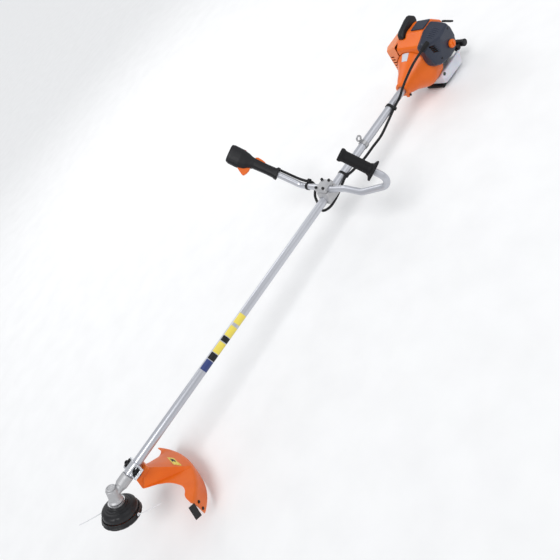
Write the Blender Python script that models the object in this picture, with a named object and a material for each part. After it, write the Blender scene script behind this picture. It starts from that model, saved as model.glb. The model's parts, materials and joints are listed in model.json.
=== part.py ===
"""Petrol string trimmer (brush cutter), modelled piece by piece.

Working frame: the drive tube lies along X, the bevel gears' crossing point is the origin, +X runs
back to the engine, +Y is the operator's right and +Z is up.  Everything hangs from one empty that
tips this frame until the guard's skirt and the engine's foot both rest on the ground.
"""

import bmesh
import bpy
import numpy as np
from math import cos, sin, tan, pi, radians, sqrt, asin
from mathutils import Matrix, Vector

# ---------------------------------------------------------------- driving dimensions (metres)
GAP = 0.0003                      # clearance between pieces that sit against each other

TUBE_R = 0.013                    # drive tube, 26 mm outside
TUBE_WALL = 0.0016
TUBE_FRONT = 0.0305
TUBE_REAR = 1.548
SHAFT_R = 0.004                   # inner drive shaft
BUSH_X = 0.780                    # rubber bush that steadies the shaft at mid length

HEAD_TILT = radians(60)           # angle between the tube and the output spindle
PINION_TEETH = 13
WHEEL_TEETH = 17

GUARD_R = 0.216                   # radius of the guard's outer ridge about the spindle
GUARD_T = 0.003

BAR_X = 1.060                     # handlebar centre along the tube
BAR_Z = 0.031
BAR_R = 0.010

ENGINE_FRONT = 1.507              # mouth of the clutch housing
FAN_FRONT = 1.600
FAN_REAR = 1.6450
FAN_R = 0.073
CASE_REAR = 1.7150
CASE_R = 0.0365
STARTER_REAR = 1.758
STARTER_R = 0.066
CYL_X = 1.680
CYL_Y = 0.008
COWL_TOP = 0.1155
CAP_BASE = 0.1045                 # underside of the black plug cover
SIDE_LEFT = -0.0605               # where the cowl meets the air filter cover
SIDE_RIGHT = 0.0405               # where the cowl meets the exhaust cover
TANK_BOTTOM = -0.1000
FOOT_BOTTOM = -0.1130
FOOT_X = 1.664

REST_TILT = radians(3.1215)         # tips the tool onto its guard and foot
REST_LIFT = 0.20344
REST_BACK = 0.8502
REST_SIDE = 0.0086

# ---------------------------------------------------------------- colours
SILVER = (0.62, 0.63, 0.65)
CAST = (0.55, 0.55, 0.56)
STEEL = (0.42, 0.42, 0.43)
CHROME = (0.75, 0.76, 0.78)
BLACK = (0.015, 0.015, 0.018)
ORANGE = (0.86, 0.19, 0.02)
SALMON = (0.86, 0.27, 0.12)
SLATE = (0.035, 0.045, 0.075)
RED = (0.60, 0.02, 0.02)
WHITE = (0.72, 0.73, 0.78)
NYLON = (0.85, 0.85, 0.85)

SPINDLE = Vector((cos(HEAD_TILT), 0.0, sin(HEAD_TILT)))
ACROSS = Vector((sin(HEAD_TILT), 0.0, -cos(HEAD_TILT)))
ALONG = Vector((1.0, 0.0, 0.0))
SIDE = Vector((0.0, 1.0, 0.0))
UP = Vector((0.0, 0.0, 1.0))


# ---------------------------------------------------------------- helpers
def clear_scene():
    for item in list(bpy.data.objects):
        bpy.data.objects.remove(item, do_unlink=True)


def paint(name, colour, rough, metal=0.0):
    surface = bpy.data.materials.new(name)
    surface.use_nodes = True
    node = surface.node_tree.nodes["Principled BSDF"]
    node.inputs["Base Color"].default_value = (*colour, 1.0)
    node.inputs["Roughness"].default_value = rough
    node.inputs["Metallic"].default_value = metal
    return surface


def frame_at(origin, x_axis, z_axis):
    """A placing matrix whose local X and Z follow the two given directions."""
    x = Vector(x_axis).normalized()
    z = Vector(z_axis)
    z = (z - x * z.dot(x)).normalized()
    y = z.cross(x)
    turn = Matrix((x, y, z)).transposed().to_4x4()
    return Matrix.Translation(Vector(origin)) @ turn


def stand(origin, axis, x_hint=(0.0, 1.0, 0.0)):
    """A placing matrix whose local Z follows axis."""
    z = Vector(axis).normalized()
    x = Vector(x_hint)
    x = (x - z * x.dot(z)).normalized()
    y = z.cross(x)
    turn = Matrix((x, y, z)).transposed().to_4x4()
    return Matrix.Translation(Vector(origin)) @ turn


def add_mesh(name, bm, place, smooth=35):
    bmesh.ops.recalc_face_normals(bm, faces=bm.faces)
    mesh = bpy.data.meshes.new(name)
    bm.to_mesh(mesh)
    bm.free()
    item = bpy.data.objects.new(name, mesh)
    bpy.context.scene.collection.objects.link(item)
    item.matrix_world = place
    if smooth:
        mesh.shade_smooth()
        mesh.set_sharp_from_angle(angle=radians(smooth))
    return item


def lathe(name, profile, place, steps=24):
    """Turns a closed outline of (radius, height) points about local Z."""
    bm = bmesh.new()
    ring = [bm.verts.new((max(r, 0.0), 0.0, h)) for r, h in profile]
    for one, two in zip(ring, ring[1:] + ring[:1]):
        if not (one.co.x < 1e-6 and two.co.x < 1e-6):
            bm.edges.new((one, two))
    bmesh.ops.spin(bm, geom=bm.verts[:] + bm.edges[:], cent=(0, 0, 0), axis=(0, 0, 1),
                   angle=2 * pi, steps=steps, use_duplicate=False)
    bmesh.ops.remove_doubles(bm, verts=bm.verts, dist=1e-5)
    return add_mesh(name, bm, place)


def ring_body(name, r_in, r_out, low, high, place, steps=24):
    return lathe(name, [(r_in, low), (r_out, low), (r_out, high), (r_in, high)], place, steps)


def rod(name, radius, low, high, place, steps=24):
    return lathe(name, [(0, low), (radius, low), (radius, high), (0, high)], place, steps)


def prism(name, outline, low, high, place, bevel=0.0):
    """Extrudes a flat outline of (x, y) points from low to high along local Z."""
    bm = bmesh.new()
    face = bm.faces.new([bm.verts.new((x, y, low)) for x, y in outline])
    grown = bmesh.ops.extrude_face_region(bm, geom=[face])
    moved = [v for v in grown["geom"] if isinstance(v, bmesh.types.BMVert)]
    bmesh.ops.translate(bm, verts=moved, vec=(0, 0, high - low))
    item = add_mesh(name, bm, place)
    if bevel:
        soften(item, bevel)
    return item


def box(name, size, centre, place=Matrix.Identity(4), bevel=0.0, segments=1):
    bm = bmesh.new()
    bmesh.ops.create_cube(bm, size=1.0)
    bmesh.ops.scale(bm, vec=size, verts=bm.verts)
    bmesh.ops.translate(bm, vec=centre, verts=bm.verts)
    item = add_mesh(name, bm, place)
    if bevel:
        soften(item, bevel, segments)
    return item


def hull(name, points, place=Matrix.Identity(4), bevel=0.0, segments=1):
    """The convex solid that the given corner points stretch."""
    bm = bmesh.new()
    for point in points:
        bm.verts.new(point)
    bmesh.ops.convex_hull(bm, input=bm.verts)
    loose = [v for v in bm.verts if not v.link_faces]
    bmesh.ops.delete(bm, geom=loose, context="VERTS")
    bmesh.ops.dissolve_limit(bm, angle_limit=radians(1), verts=bm.verts, edges=bm.edges)
    item = add_mesh(name, bm, place)
    if bevel:
        soften(item, bevel, segments)
    return item


def soften(item, width, segments=1):
    edge = item.modifiers.new("edge", "BEVEL")
    edge.width = width
    edge.segments = segments
    edge.limit_method = "ANGLE"
    edge.angle_limit = radians(30)


def combine(item, other, operation="DIFFERENCE"):
    """Cuts or joins with another object, which is kept as a hidden guide."""
    cut = item.modifiers.new(operation.lower(), "BOOLEAN")
    cut.operation = operation
    cut.solver = "EXACT"
    cut.object = other
    other.hide_render = True
    other.display_type = "WIRE"
    return item


def cut(item, *others):
    for other in others:
        combine(item, other)
    return item


def join(item, *others):
    for other in others:
        combine(item, other, "UNION")
    return item


def smooth_curve(points, count):
    """Catmull-Rom curve through the points, resampled to even spacing."""
    pts = np.array(points, float)
    ends = np.vstack([2 * pts[0] - pts[1], pts, 2 * pts[-1] - pts[-2]])
    dense = []
    for k in range(1, len(ends) - 2):
        a, b, c, d = ends[k - 1:k + 3]
        t = np.linspace(0, 1, 30, endpoint=False)[:, None]
        dense.append(0.5 * (2 * b + (c - a) * t + (2 * a - 5 * b + 4 * c - d) * t ** 2
                            + (3 * b - a - 3 * c + d) * t ** 3))
    dense = np.vstack(dense + [pts[-1:]])
    run = np.r_[0, np.cumsum(np.linalg.norm(np.diff(dense, axis=0), axis=1))]
    even = np.linspace(0, run[-1], count)
    return np.stack([np.interp(even, run, dense[:, k]) for k in range(3)], axis=1)


def rounded_path(corners, radii, arc_points=7):
    """A polyline whose inner corners are replaced by arcs of the given radii."""
    corners = [Vector(c) for c in corners]
    path = [corners[0]]
    for before, corner, after, radius in zip(corners, corners[1:], corners[2:], radii):
        one = (before - corner).normalized()
        two = (after - corner).normalized()
        half = one.angle(two) / 2
        reach = radius / tan(half)
        middle = (one + two).normalized()
        centre = corner + middle * (radius / sin(half))
        start = corner + one * reach - centre
        end = corner + two * reach - centre
        sweep = start.angle(end)
        for k in range(arc_points):
            t = k / (arc_points - 1)
            turn = (start * sin((1 - t) * sweep) + end * sin(t * sweep)) / sin(sweep)
            path.append(centre + turn)
    path.append(corners[-1])
    return path


def sweep_tube(name, points, radius, resolution=2, wall=0.0):
    """A round tube along the points; with a wall it is hollow and open at both ends."""
    curve = bpy.data.curves.new(name, "CURVE")
    curve.dimensions = "3D"
    curve.bevel_depth = radius
    curve.bevel_resolution = resolution
    curve.use_fill_caps = wall == 0.0
    line = curve.splines.new("POLY")
    line.points.add(len(points) - 1)
    for spot, point in zip(line.points, points):
        spot.co = (*point, 1.0)
        spot.radius = 1.0
    item = bpy.data.objects.new(name, curve)
    bpy.context.scene.collection.objects.link(item)
    if wall:
        shell = item.modifiers.new("wall", "SOLIDIFY")
        shell.thickness = wall
        shell.offset = -1.0
    return item


def screw_body(name, head_r, head_h, shank_r, length, place):
    """A socket-head screw: head above local Z = 0 with a recess, shank below."""
    recess = head_r * 0.5
    profile = [(0, -length), (shank_r, -length), (shank_r, 0), (head_r, 0), (head_r, head_h * 0.8),
               (head_r * 0.85, head_h), (recess, head_h), (recess, head_h * 0.45), (0, head_h * 0.45)]
    return lathe(name, profile, place, 12)


def toothed_cone(name, teeth, half_angle, near, far, bore, depth, place):
    """A bevel gear: a cone frustum whose tooth gaps are cut in below the pitch surface."""
    bm = bmesh.new()
    rows = []
    for height in (near, far):
        row = []
        for k in range(teeth * 4):
            crest = k % 4 in (0, 1)
            radius = height * tan(half_angle) - (0.0 if crest else depth * height / far)
            angle = 2 * pi * k / (teeth * 4)
            row.append(bm.verts.new((radius * cos(angle), radius * sin(angle), height)))
        rows.append(row)
    hole = []
    for height in (near, far):
        hole.append([bm.verts.new((bore * cos(2 * pi * k / (teeth * 4)),
                                   bore * sin(2 * pi * k / (teeth * 4)), height))
                     for k in range(teeth * 4)])
    count = teeth * 4
    for k in range(count):
        n = (k + 1) % count
        bm.faces.new((rows[0][k], rows[0][n], rows[1][n], rows[1][k]))
        bm.faces.new((hole[0][n], hole[0][k], hole[1][k], hole[1][n]))
        bm.faces.new((rows[0][n], rows[0][k], hole[0][k], hole[0][n]))
        bm.faces.new((rows[1][k], rows[1][n], hole[1][n], hole[1][k]))
    return add_mesh(name, bm, place, smooth=0)


def grid_shell(name, rows, thickness, place=Matrix.Identity(4)):
    """An open sheet through a grid of points, given a wall on its inner side."""
    bm = bmesh.new()
    verts = [[bm.verts.new(p) for p in row] for row in rows]
    for upper, lower in zip(verts, verts[1:]):
        for k in range(len(upper) - 1):
            bm.faces.new((upper[k], upper[k + 1], lower[k + 1], lower[k]))
    item = add_mesh(name, bm, place)
    wall = item.modifiers.new("wall", "SOLIDIFY")
    wall.thickness = thickness
    wall.offset = -1.0
    return item


AT_HEAD = stand((0, 0, 0), SPINDLE, ACROSS)      # local X out towards the guard, local Z up the spindle
AT_TUBE = stand((0, 0, 0), ALONG, SIDE)          # local X = right, local Y = up, local Z = back
LEFTWARD = stand((0, 0, 0), -SIDE, ALONG)        # local X = back, local Y = up, local Z = left
UPRIGHT = Matrix.Identity(4)


# ---------------------------------------------------------------- drive line and gearbox
def drive_line():
    ring_body("drive_tube", TUBE_R - TUBE_WALL, TUBE_R, TUBE_FRONT, TUBE_REAR, AT_TUBE, 24)
    rod("drive_shaft", SHAFT_R, 0.0115, 1.5715, AT_TUBE, 10)
    ring_body("tube_bush", SHAFT_R + GAP, TUBE_R - TUBE_WALL - GAP, BUSH_X - 0.015, BUSH_X + 0.015,
              AT_TUBE, 16)


def gearbox():
    housing = lathe("gearbox_housing",
                    [(0, -0.0200), (0.0205, -0.0200), (0.0205, -0.0168), (0.0172, -0.0120),
                     (0.0165, 0.0), (0.0165, 0.0200), (0.0150, 0.0235), (0, 0.0235)], AT_HEAD, 20)
    neck = lathe("neck_guide",
                 [(0, 0), (0.0128, 0), (0.0128, 0.020), (0.0150, 0.028), (0.0175, 0.033), (0.0175, 0.0600),
                  (0.0168, 0.0625), (0, 0.0625)], AT_TUBE, 28)
    join(housing, neck)
    cut(housing,
        rod("gear_room_guide", 0.0128, -0.030, 0.0200, AT_HEAD, 24),
        rod("cap_hole_guide", 0.0098, 0.015, 0.030, AT_HEAD, 24),
        rod("pinion_room_guide", 0.0108, 0.006, 0.0245, AT_TUBE, 24),
        rod("shaft_way_guide", 0.0080, 0.020, 0.0302, AT_TUBE, 16),
        rod("tube_socket_guide", TUBE_R + GAP, 0.0300, 0.090, AT_TUBE, 24))
    lathe("gearbox_cap",
          [(0, 0.0205), (0.0095, 0.0205), (0.0095, 0.0238), (0.0135, 0.0238), (0.0135, 0.0275),
           (0.0120, 0.0285), (0, 0.0285)], AT_HEAD, 24)
    total = radians(60)
    pinion_angle = np.arctan2(sin(total), WHEEL_TEETH / PINION_TEETH + cos(total))
    slack = radians(0.9)
    toothed_cone("drive_pinion", PINION_TEETH, pinion_angle - slack, 0.0125, 0.0215,
                 SHAFT_R + GAP, 0.0016, AT_TUBE)
    toothed_cone("output_gear", WHEEL_TEETH, total - pinion_angle - slack, 0.0100, 0.0172,
                 0.0048, 0.0016, AT_HEAD)
    lathe("output_spindle",
          [(0, -0.058), (0.0045, -0.058), (0.0045, -0.0265), (0.0235, -0.0265), (0.0235, -0.0206),
           (0.0045, -0.0206), (0.0045, 0.0190), (0, 0.0190)], AT_HEAD, 24)


# ---------------------------------------------------------------- line head
EYELET_ANGLE = radians(-57)
LINE_R = 0.0012
LINE_LEVEL = -0.0620


def around(angle, radius, level):
    return Vector((radius * cos(angle), radius * sin(angle), level))


def line_head():
    lathe("head_cover",
          [(0.0048, -0.0268), (0.0265, -0.0268), (0.0278, -0.0282), (0.0285, -0.0330),
           (0.0390, -0.0350), (0.0465, -0.0400), (0.0500, -0.0480), (0.0503, -0.0572),
           (0.0478, -0.0572), (0.0475, -0.0490), (0.0445, -0.0425), (0.0380, -0.0375),
           (0.0260, -0.0355), (0.0048, -0.0300)], AT_HEAD, 24)
    base = lathe("head_base",
                 [(0.0512, -0.0576), (0.0535, -0.0576), (0.0545, -0.0640), (0.0565, -0.0680),
                  (0.0565, -0.0705), (0.0500, -0.0790), (0.0400, -0.0850), (0.0240, -0.0870),
                  (0.0240, -0.0845), (0.0390, -0.0825), (0.0475, -0.0765), (0.0520, -0.0690)],
                 AT_HEAD, 24)
    for turn in (0, pi):
        way = AT_HEAD @ stand((0, 0, LINE_LEVEL), around(EYELET_ANGLE + turn, 1, 0), (0, 0, 1))
        cut(base, rod(f"eyelet_guide_{turn:.0f}", 0.0028, 0.045, 0.070, way, 12))
    lathe("line_spool",
          [(0.0052, -0.0765), (0.0440, -0.0765), (0.0440, -0.0740), (0.0200, -0.0740),
           (0.0200, -0.0485), (0.0380, -0.0485), (0.0380, -0.0460), (0.0052, -0.0460)], AT_HEAD, 20)
    lathe("bump_knob",
          [(0, -0.0975), (0.0120, -0.0970), (0.0195, -0.0940), (0.0225, -0.0885), (0.0225, -0.0800),
           (0.0180, -0.0769), (0, -0.0769)], AT_HEAD, 20)
    start_one = around(EYELET_ANGLE, 0.0550, LINE_LEVEL)
    start_two = around(EYELET_ANGLE + pi, 0.0550, LINE_LEVEL)
    routes = [smooth_curve([start_one, (0.040, -0.0525, -0.0615), (0.066, -0.0590, -0.0612),
                            (0.0925, -0.0635, -0.0612)], 9),
              smooth_curve([start_two, (-0.046, 0.0425, -0.0615), (-0.075, 0.0445, -0.0610),
                            (-0.1040, 0.0485, -0.0600)], 9)]
    for number, route in enumerate(routes, 1):
        sweep_tube(f"line_end_{number}", route, LINE_R, 2).matrix_world = AT_HEAD


# ---------------------------------------------------------------- guard
RIDGE_LEVEL = -0.030
END_LEAN = 4.6                    # degrees the near end of the skirt leans by at its foot
# inner edge of the guard's top sheet: (across, side, level) and the bearing of the ridge point it faces
GUARD_COLUMNS = [((0.182, 0.113, -0.030), 32.0), ((0.184, 0.100, -0.029), 29.0),
                 ((0.180, 0.084, -0.026), 25.5), ((0.166, 0.066, -0.022), 21.0),
                 ((0.148, 0.047, -0.007), 15.0), ((0.122, 0.026, 0.009), 7.0),
                 ((0.099, 0.011, 0.026), -2.0), ((0.095, -0.008, 0.032), -11.0),
                 ((0.071, -0.020, -0.017), -12.2), ((0.088, -0.028, -0.019), -16.0),
                 ((0.110, -0.036, -0.022), -20.0), ((0.132, -0.049, -0.025), -24.0),
                 ((0.148, -0.065, -0.028), -28.0), ((0.158, -0.090, -0.028), -33.0),
                 ((0.154, -0.112, -0.030), -38.5), ((0.141, -0.128, -0.030), -43.5),
                 ((0.1425, -0.1610, -0.030), -48.6)]


def guard():
    columns = []
    for (inner, bearing) in GUARD_COLUMNS:
        inner = Vector(inner)
        ridge = around(radians(bearing), GUARD_R, RIDGE_LEVEL)
        column = [inner.lerp(ridge, t) for t in (0.0, 0.25, 0.5, 0.75, 1.0)]
        shift = -END_LEAN * bearing / 48.6
        for out, drop, lean in ((0.0050, 0.003, 0.05), (0.0085, 0.011, 0.2), (0.0130, 0.030, 0.55),
                                (0.0185, 0.060, 1.0)):
            column.append(around(radians(bearing + shift * lean), GUARD_R + out, RIDGE_LEVEL - drop))
        columns.append(column)
    rows = [list(row) for row in zip(*columns)]
    shell = grid_shell("guard", rows, GUARD_T, AT_HEAD)
    pad = box("guard_pad_guide", (0.046, 0.040, 0.017), (0.0860, 0.0, -0.0257))
    join(shell, pad)
    return shell


def guard_mount():
    def arc(radius, first, last, count=13):
        return [(radius * cos(radians(a)), radius * sin(radians(a)))
                for a in np.linspace(first, last, count)]
    low, high = 0.0665, 0.1000
    strap_outline = ([(-0.036, GAP), (-0.036, 0.0033), (-0.0190, 0.0033)] + arc(0.0165, 165, 15)
                     + [(0.0190, 0.0033), (0.036, 0.0033), (0.036, GAP)] + arc(0.0133, 2, 178))
    strap = prism("guard_strap", strap_outline, low, high, AT_TUBE)
    plate_outline = ([(0.036, -GAP), (0.036, -0.0060), (0.022, -0.0169), (-0.022, -0.0169),
                      (-0.036, -0.0060), (-0.036, -GAP)] + arc(0.0133, 182, 358))
    plate = prism("guard_plate", plate_outline, low, high, AT_TUBE)
    for number, side in enumerate((-1, 1), 1):
        spot = Matrix.Translation((0.0833, side * 0.0275, 0.0036))
        hole = rod(f"guard_hole_guide_{number}", 0.0031, -0.020, 0.010, spot, 12)
        combine(strap, hole)
        combine(plate, hole)
        screw_body(f"guard_bolt_{number}", 0.0058, 0.0065, 0.0028, 0.0165, spot)
    spot = AT_HEAD @ frame_at((0.152, -0.1676, -0.062), (-0.985, 0, -0.15), (0.40, -0.015, -0.92))
    box("line_knife", (0.0190, 0.0022, 0.0500), (0.0078, 0, -0.0030), spot)


# ---------------------------------------------------------------- harness hanger
HANGER_X = 1.270


def harness_hanger():
    band = ring_body("harness_hanger", TUBE_R + GAP, TUBE_R + 0.0028, HANGER_X - 0.007, HANGER_X + 0.007,
                     AT_TUBE, 24)
    loop = Matrix.Translation((HANGER_X, 0.004, 0.0262)) @ LEFTWARD
    join(band, rod("loop_guide", 0.0110, -0.0022, 0.0022, loop, 20))
    cut(band, rod("loop_hole_guide", 0.0060, -0.01, 0.01, loop, 16))


# ---------------------------------------------------------------- handlebar and its clamp
CLAMP_X = 1.0615
CLAMP_Y = -0.012
GRIP_AXIS = Vector((-0.17, 0.65, 0.74)).normalized()
GRIP_BASE = Vector((BAR_X, 0.103, BAR_Z)) + GRIP_AXIS * 0.064
PALM = Vector((0.956, -0.072, 0.283))
LEFT_CORNER = Vector((1.100, -0.282, 0.041))
LEFT_AXIS = Vector((-0.134, 0.654, 0.745)).normalized()
BAR_CORNERS = [GRIP_BASE + GRIP_AXIS * 0.092, (BAR_X, 0.103, BAR_Z), (BAR_X, -0.045, BAR_Z),
               (1.062, -0.105, 0.040), (1.062, -0.170, 0.033), LEFT_CORNER,
               LEFT_CORNER + LEFT_AXIS * 0.160]


def bar_clamp():
    top, low = BAR_Z - GAP, -0.0185
    base = hull("bar_clamp_base",
                [(CLAMP_X + dx, y, z) for dx in (-0.024, 0.024) for y, z in
                 ((CLAMP_Y - 0.024, top), (CLAMP_Y + 0.025, top), (CLAMP_Y - 0.024, top - 0.012),
                  (0.0195, 0.010), (0.0195, low), (-0.0195, low))], bevel=0.003)
    tube_way = rod("clamp_tube_guide", TUBE_R + GAP, 1.0, 1.12, AT_TUBE, 28)
    bar_way = rod("clamp_bar_guide", BAR_R + GAP, -0.05, 0.05,
                  Matrix.Translation((BAR_X, 0, BAR_Z)) @ LEFTWARD, 24)
    slit = box("clamp_slit_guide", (0.06, 0.002, 0.02), (BAR_X, 0, -0.020))
    cut(base, tube_way, bar_way, slit)
    cap = box("bar_clamp_cap", (0.046, 0.048, 0.0160), (CLAMP_X, CLAMP_Y, BAR_Z + GAP + 0.0080),
              bevel=0.004)
    cut(cap, bar_way)
    spots = [(CLAMP_X + dx, CLAMP_Y + dy) for dx in (-0.0165, 0.0165) for dy in (-0.016, 0.016)]
    for number, (x, y) in enumerate(spots, 1):
        spot = Matrix.Translation((x, y, BAR_Z + 0.0166))
        hole = rod(f"clamp_hole_guide_{number}", 0.0029, -0.0295, 0.004, spot, 12)
        combine(base, hole)
        combine(cap, hole)
        screw_body(f"clamp_bolt_{number}", 0.0046, 0.0055, 0.0026, 0.0290, spot)


def handlebar():
    path = rounded_path(BAR_CORNERS, (0.030, 0.040, 0.040, 0.045, 0.024), 7)
    sweep_tube("handlebar", path, BAR_R, 2, 0.0015)
    at_grip = frame_at(LEFT_CORNER + LEFT_AXIS * 0.070, LEFT_AXIS, UP)
    lathe("left_grip",
          [(BAR_R + GAP, 0), (0.0280, 0), (0.0300, 0.003), (0.0280, 0.0065), (0.0190, 0.011),
           (0.0155, 0.019), (0.0155, 0.0870), (0.0165, 0.0940), (0.0190, 0.0980), (0.0190, 0.1030),
           (0.0170, 0.1065), (0, 0.1065), (0, 0.1030), (BAR_R + GAP, 0.1030)],
          at_grip @ Matrix.Rotation(pi / 2, 4, "Y"), 24)


# ---------------------------------------------------------------- throttle grip
AT_GRIP = frame_at(GRIP_BASE, GRIP_AXIS, PALM)   # local X to the free end, local Z to the palm
# stations of the moulded grip: place along it, reach to the palm, reach to the fingers, half width
GRIP_STATIONS = [(0.019, 0.0215, 0.0190, 0.0180), (0.027, 0.0215, 0.0190, 0.0180),
                 (0.032, 0.0165, 0.0165, 0.0160), (0.060, 0.0158, 0.0158, 0.0155),
                 (0.102, 0.0162, 0.0170, 0.0158), (0.116, 0.0180, 0.0235, 0.0168),
                 (0.130, 0.0230, 0.0322, 0.0185), (0.150, 0.0270, 0.0360, 0.0205),
                 (0.182, 0.0280, 0.0350, 0.0205), (0.191, 0.0255, 0.0310, 0.0180),
                 (0.1925, 0.0080, 0.0100, 0.0060)]
TRIGGER_PIVOT = (0.1480, -0.0200)
LEVER_PIVOT = (0.0745, 0.0150)


def throttle_grip():
    for name, side in (("throttle_grip_front", -1), ("throttle_grip_rear", 1)):
        rows = []
        for place, palm, fingers, half in GRIP_STATIONS:
            row = []
            for k in range(13):
                angle = -pi / 2 + pi * k / 12
                reach = palm if sin(angle) > 0 else fingers
                square = 1 + 0.10 * sin(2 * angle) ** 2
                row.append((place, side * (GAP / 2 + half * square * cos(angle)),
                            reach * square * sin(angle)))
            rows.append(row if side > 0 else row[::-1])
        shell = grid_shell(name, rows, 0.0022, AT_GRIP)
        cut(shell, box(f"{name}_trigger_guide", (0.050, 0.0140, 0.036), (0.1300, 0, -0.030), AT_GRIP),
            box(f"{name}_lever_guide", (0.043, 0.0126, 0.020), (0.0885, 0, 0.0215), AT_GRIP),
            box(f"{name}_switch_guide", (0.018, 0.0096, 0.020), (0.1480, 0, 0.0240), AT_GRIP))
    turned = AT_GRIP @ Matrix.Rotation(pi / 2, 4, "X")
    px, pz = TRIGGER_PIVOT
    spot = turned @ Matrix.Translation((px, pz, 0))
    prism("throttle_trigger",
          [(x - px, z - pz) for x, z in ((0.1530, -0.0130), (0.1530, -0.0300), (0.1430, -0.0385),
                                         (0.1250, -0.0490), (0.1190, -0.0495), (0.1125, -0.0400),
                                         (0.1090, -0.0290), (0.1090, -0.0170), (0.1270, -0.0130))],
          -0.0058, 0.0058, spot, 0.0012)
    px, pz = LEVER_PIVOT
    spot = turned @ Matrix.Translation((px, pz, 0))
    prism("lockout_lever",
          [(x - px, z - pz) for x, z in ((0.0710, 0.0125), (0.1060, 0.0155), (0.1080, 0.0185),
                                         (0.0990, 0.0225), (0.0820, 0.0205), (0.0710, 0.0172))],
          -0.0055, 0.0055, spot, 0.0008)
    spot = AT_GRIP @ Matrix.Translation((0.1480, 0, 0.0240))
    box("stop_switch", (0.0100, 0.0080, 0.0060), (0, 0, 0.0005), spot, 0.0010)


# ---------------------------------------------------------------- throttle cable
CABLE_R = 0.0045
CABLE_ROUTE = [(1.0609, 0.1549, 0.0958), (1.0640, 0.1431, 0.0824), (1.0666, 0.1333, 0.0713),
               (1.0690, 0.1200, 0.0590), (1.0705, 0.1040, 0.0490), (1.0715, 0.0850, 0.0425),
               (1.0722, 0.0680, 0.0400), (1.0754, 0.0600, 0.0310), (1.0710, 0.0560, 0.0155),
               (1.0565, 0.0520, 0.0080), (1.0445, 0.0473, 0.0000), (1.0310, 0.0345, -0.0155),
               (1.0210, 0.0215, -0.0270), (1.0195, 0.0060, -0.0290), (1.0372, -0.0083, -0.0285),
               (1.0651, -0.0090, -0.0275), (1.0927, -0.0070, -0.0240), (1.1160, -0.0165, -0.0080),
               (1.1327, -0.0182, -0.0020), (1.1470, -0.0180, -0.0040), (1.1650, -0.0160, -0.0110),
               (1.1955, -0.0140, -0.0177), (1.2333, -0.0168, -0.0218), (1.2803, -0.0172, -0.0224),
               (1.3300, -0.0180, -0.0230), (1.3843, -0.0150, -0.0150), (1.4292, -0.0181, -0.0010),
               (1.4620, -0.0270, 0.0124), (1.4760, -0.0350, 0.0270), (1.4908, -0.0450, 0.0430),
               (1.5086, -0.0540, 0.0567), (1.5249, -0.0630, 0.0689), (1.5422, -0.0730, 0.0800),
               (1.5601, -0.0830, 0.0890), (1.5760, -0.0920, 0.0955)]


def cable_tie(name, centre, axis, big, small_centre, small_axis, small):
    """A band round a tube with a second loop that holds the cable against it."""
    width = 0.010
    at_tube = stand(centre, axis, UP)
    at_cable = stand(small_centre, small_axis, UP)
    band = rod(name, big + 0.0022, -width / 2, width / 2, at_tube, 24)
    join(band, rod(f"{name}_loop_guide", small + 0.0045, -0.44 * width, 0.44 * width, at_cable, 16))
    cut(band, rod(f"{name}_tube_guide", big + GAP, -width, width, at_tube, 24),
        rod(f"{name}_bore_guide", small + 0.0027, -width, width, at_cable, 16))


def control_cable():
    route = smooth_curve(CABLE_ROUTE, 72)
    sweep_tube("control_cable", route, CABLE_R, 2)
    cable_tie("cable_band", (BAR_X, 0.0680, BAR_Z), SIDE, BAR_R,
              (1.0722, 0.0680, 0.0400), (-0.15, 1, 0.42), CABLE_R)
    cable_tie("cable_clip", (1.4292, 0, 0), ALONG, TUBE_R,
              (1.4292, -0.0181, -0.0010), (1, -0.15, 0.33), CABLE_R)


# ---------------------------------------------------------------- engine
def crank_train():
    drum = [(0.0052, 1.5760), (0.0052, 1.5720), (0.0340, 1.5720), (0.0340, 1.5960), (0.0315, 1.5960),
            (0.0315, 1.5760)]
    lathe("clutch_drum", [(0.0, 1.5720)] + drum[2:] + [(0.0, 1.5760)], AT_TUBE, 28)
    lathe("clutch_shoes",
          [(0.0064, 1.5790), (0.0295, 1.5790), (0.0295, 1.5930), (0.0064, 1.5930)], AT_TUBE, 24)
    lathe("crankshaft",
          [(0, 1.5780), (0.0060, 1.5780), (0.0060, CYL_X - 0.0090), (0.0200, CYL_X - 0.0090),
           (0.0200, CYL_X - 0.0030), (0.0070, CYL_X - 0.0030), (0.0070, CYL_X + 0.0030),
           (0.0200, CYL_X + 0.0030), (0.0200, CYL_X + 0.0090), (0.0060, CYL_X + 0.0090),
           (0.0060, 1.7400), (0, 1.7400)], AT_TUBE, 20)
    wheel = lathe("flywheel",
                  [(0.0064, 1.6120), (0.0660, 1.6120), (0.0660, 1.6220), (0.0200, 1.6260),
                   (0.0200, 1.6340), (0.0064, 1.6340)], AT_TUBE, 28)
    for k in range(10):
        angle = 2 * pi * k / 10
        fin = AT_TUBE @ Matrix.Rotation(angle, 4, "Z")
        join(wheel, box(f"fin_guide_{k}", (0.034, 0.0024, 0.012), (0.045, 0.0, 1.6260), fin))


def clutch_housing():
    shell = lathe("clutch_housing",
                  [(TUBE_R + GAP, ENGINE_FRONT), (0.0235, ENGINE_FRONT), (0.0250, 1.5110),
                   (0.0250, 1.5180), (0.0340, 1.5350), (0.0450, 1.5600), (0.0620, 1.5850),
                   (0.0700, 1.5970), (FAN_R, 1.6050), (FAN_R, FAN_REAR), (FAN_R - 0.003, FAN_REAR),
                   (FAN_R - 0.003, 1.6065), (0.0665, 1.5990), (0.0585, 1.5875), (0.0415, 1.5625),
                   (0.0300, 1.5535), (0.0200, 1.5500), (TUBE_R + GAP, 1.5490)], AT_TUBE, 28)
    ear = box("collar_ear_guide", (0.016, 0.012, 0.012), (1.5180, -0.006, -0.0270))
    join(shell, ear)
    cut(shell, box("collar_slit_guide", (0.030, 0.0018, 0.034), (1.5150, -0.006, -0.029)),
        rod("collar_bore_guide", TUBE_R + GAP, 1.49, 1.549, AT_TUBE, 28))


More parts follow.
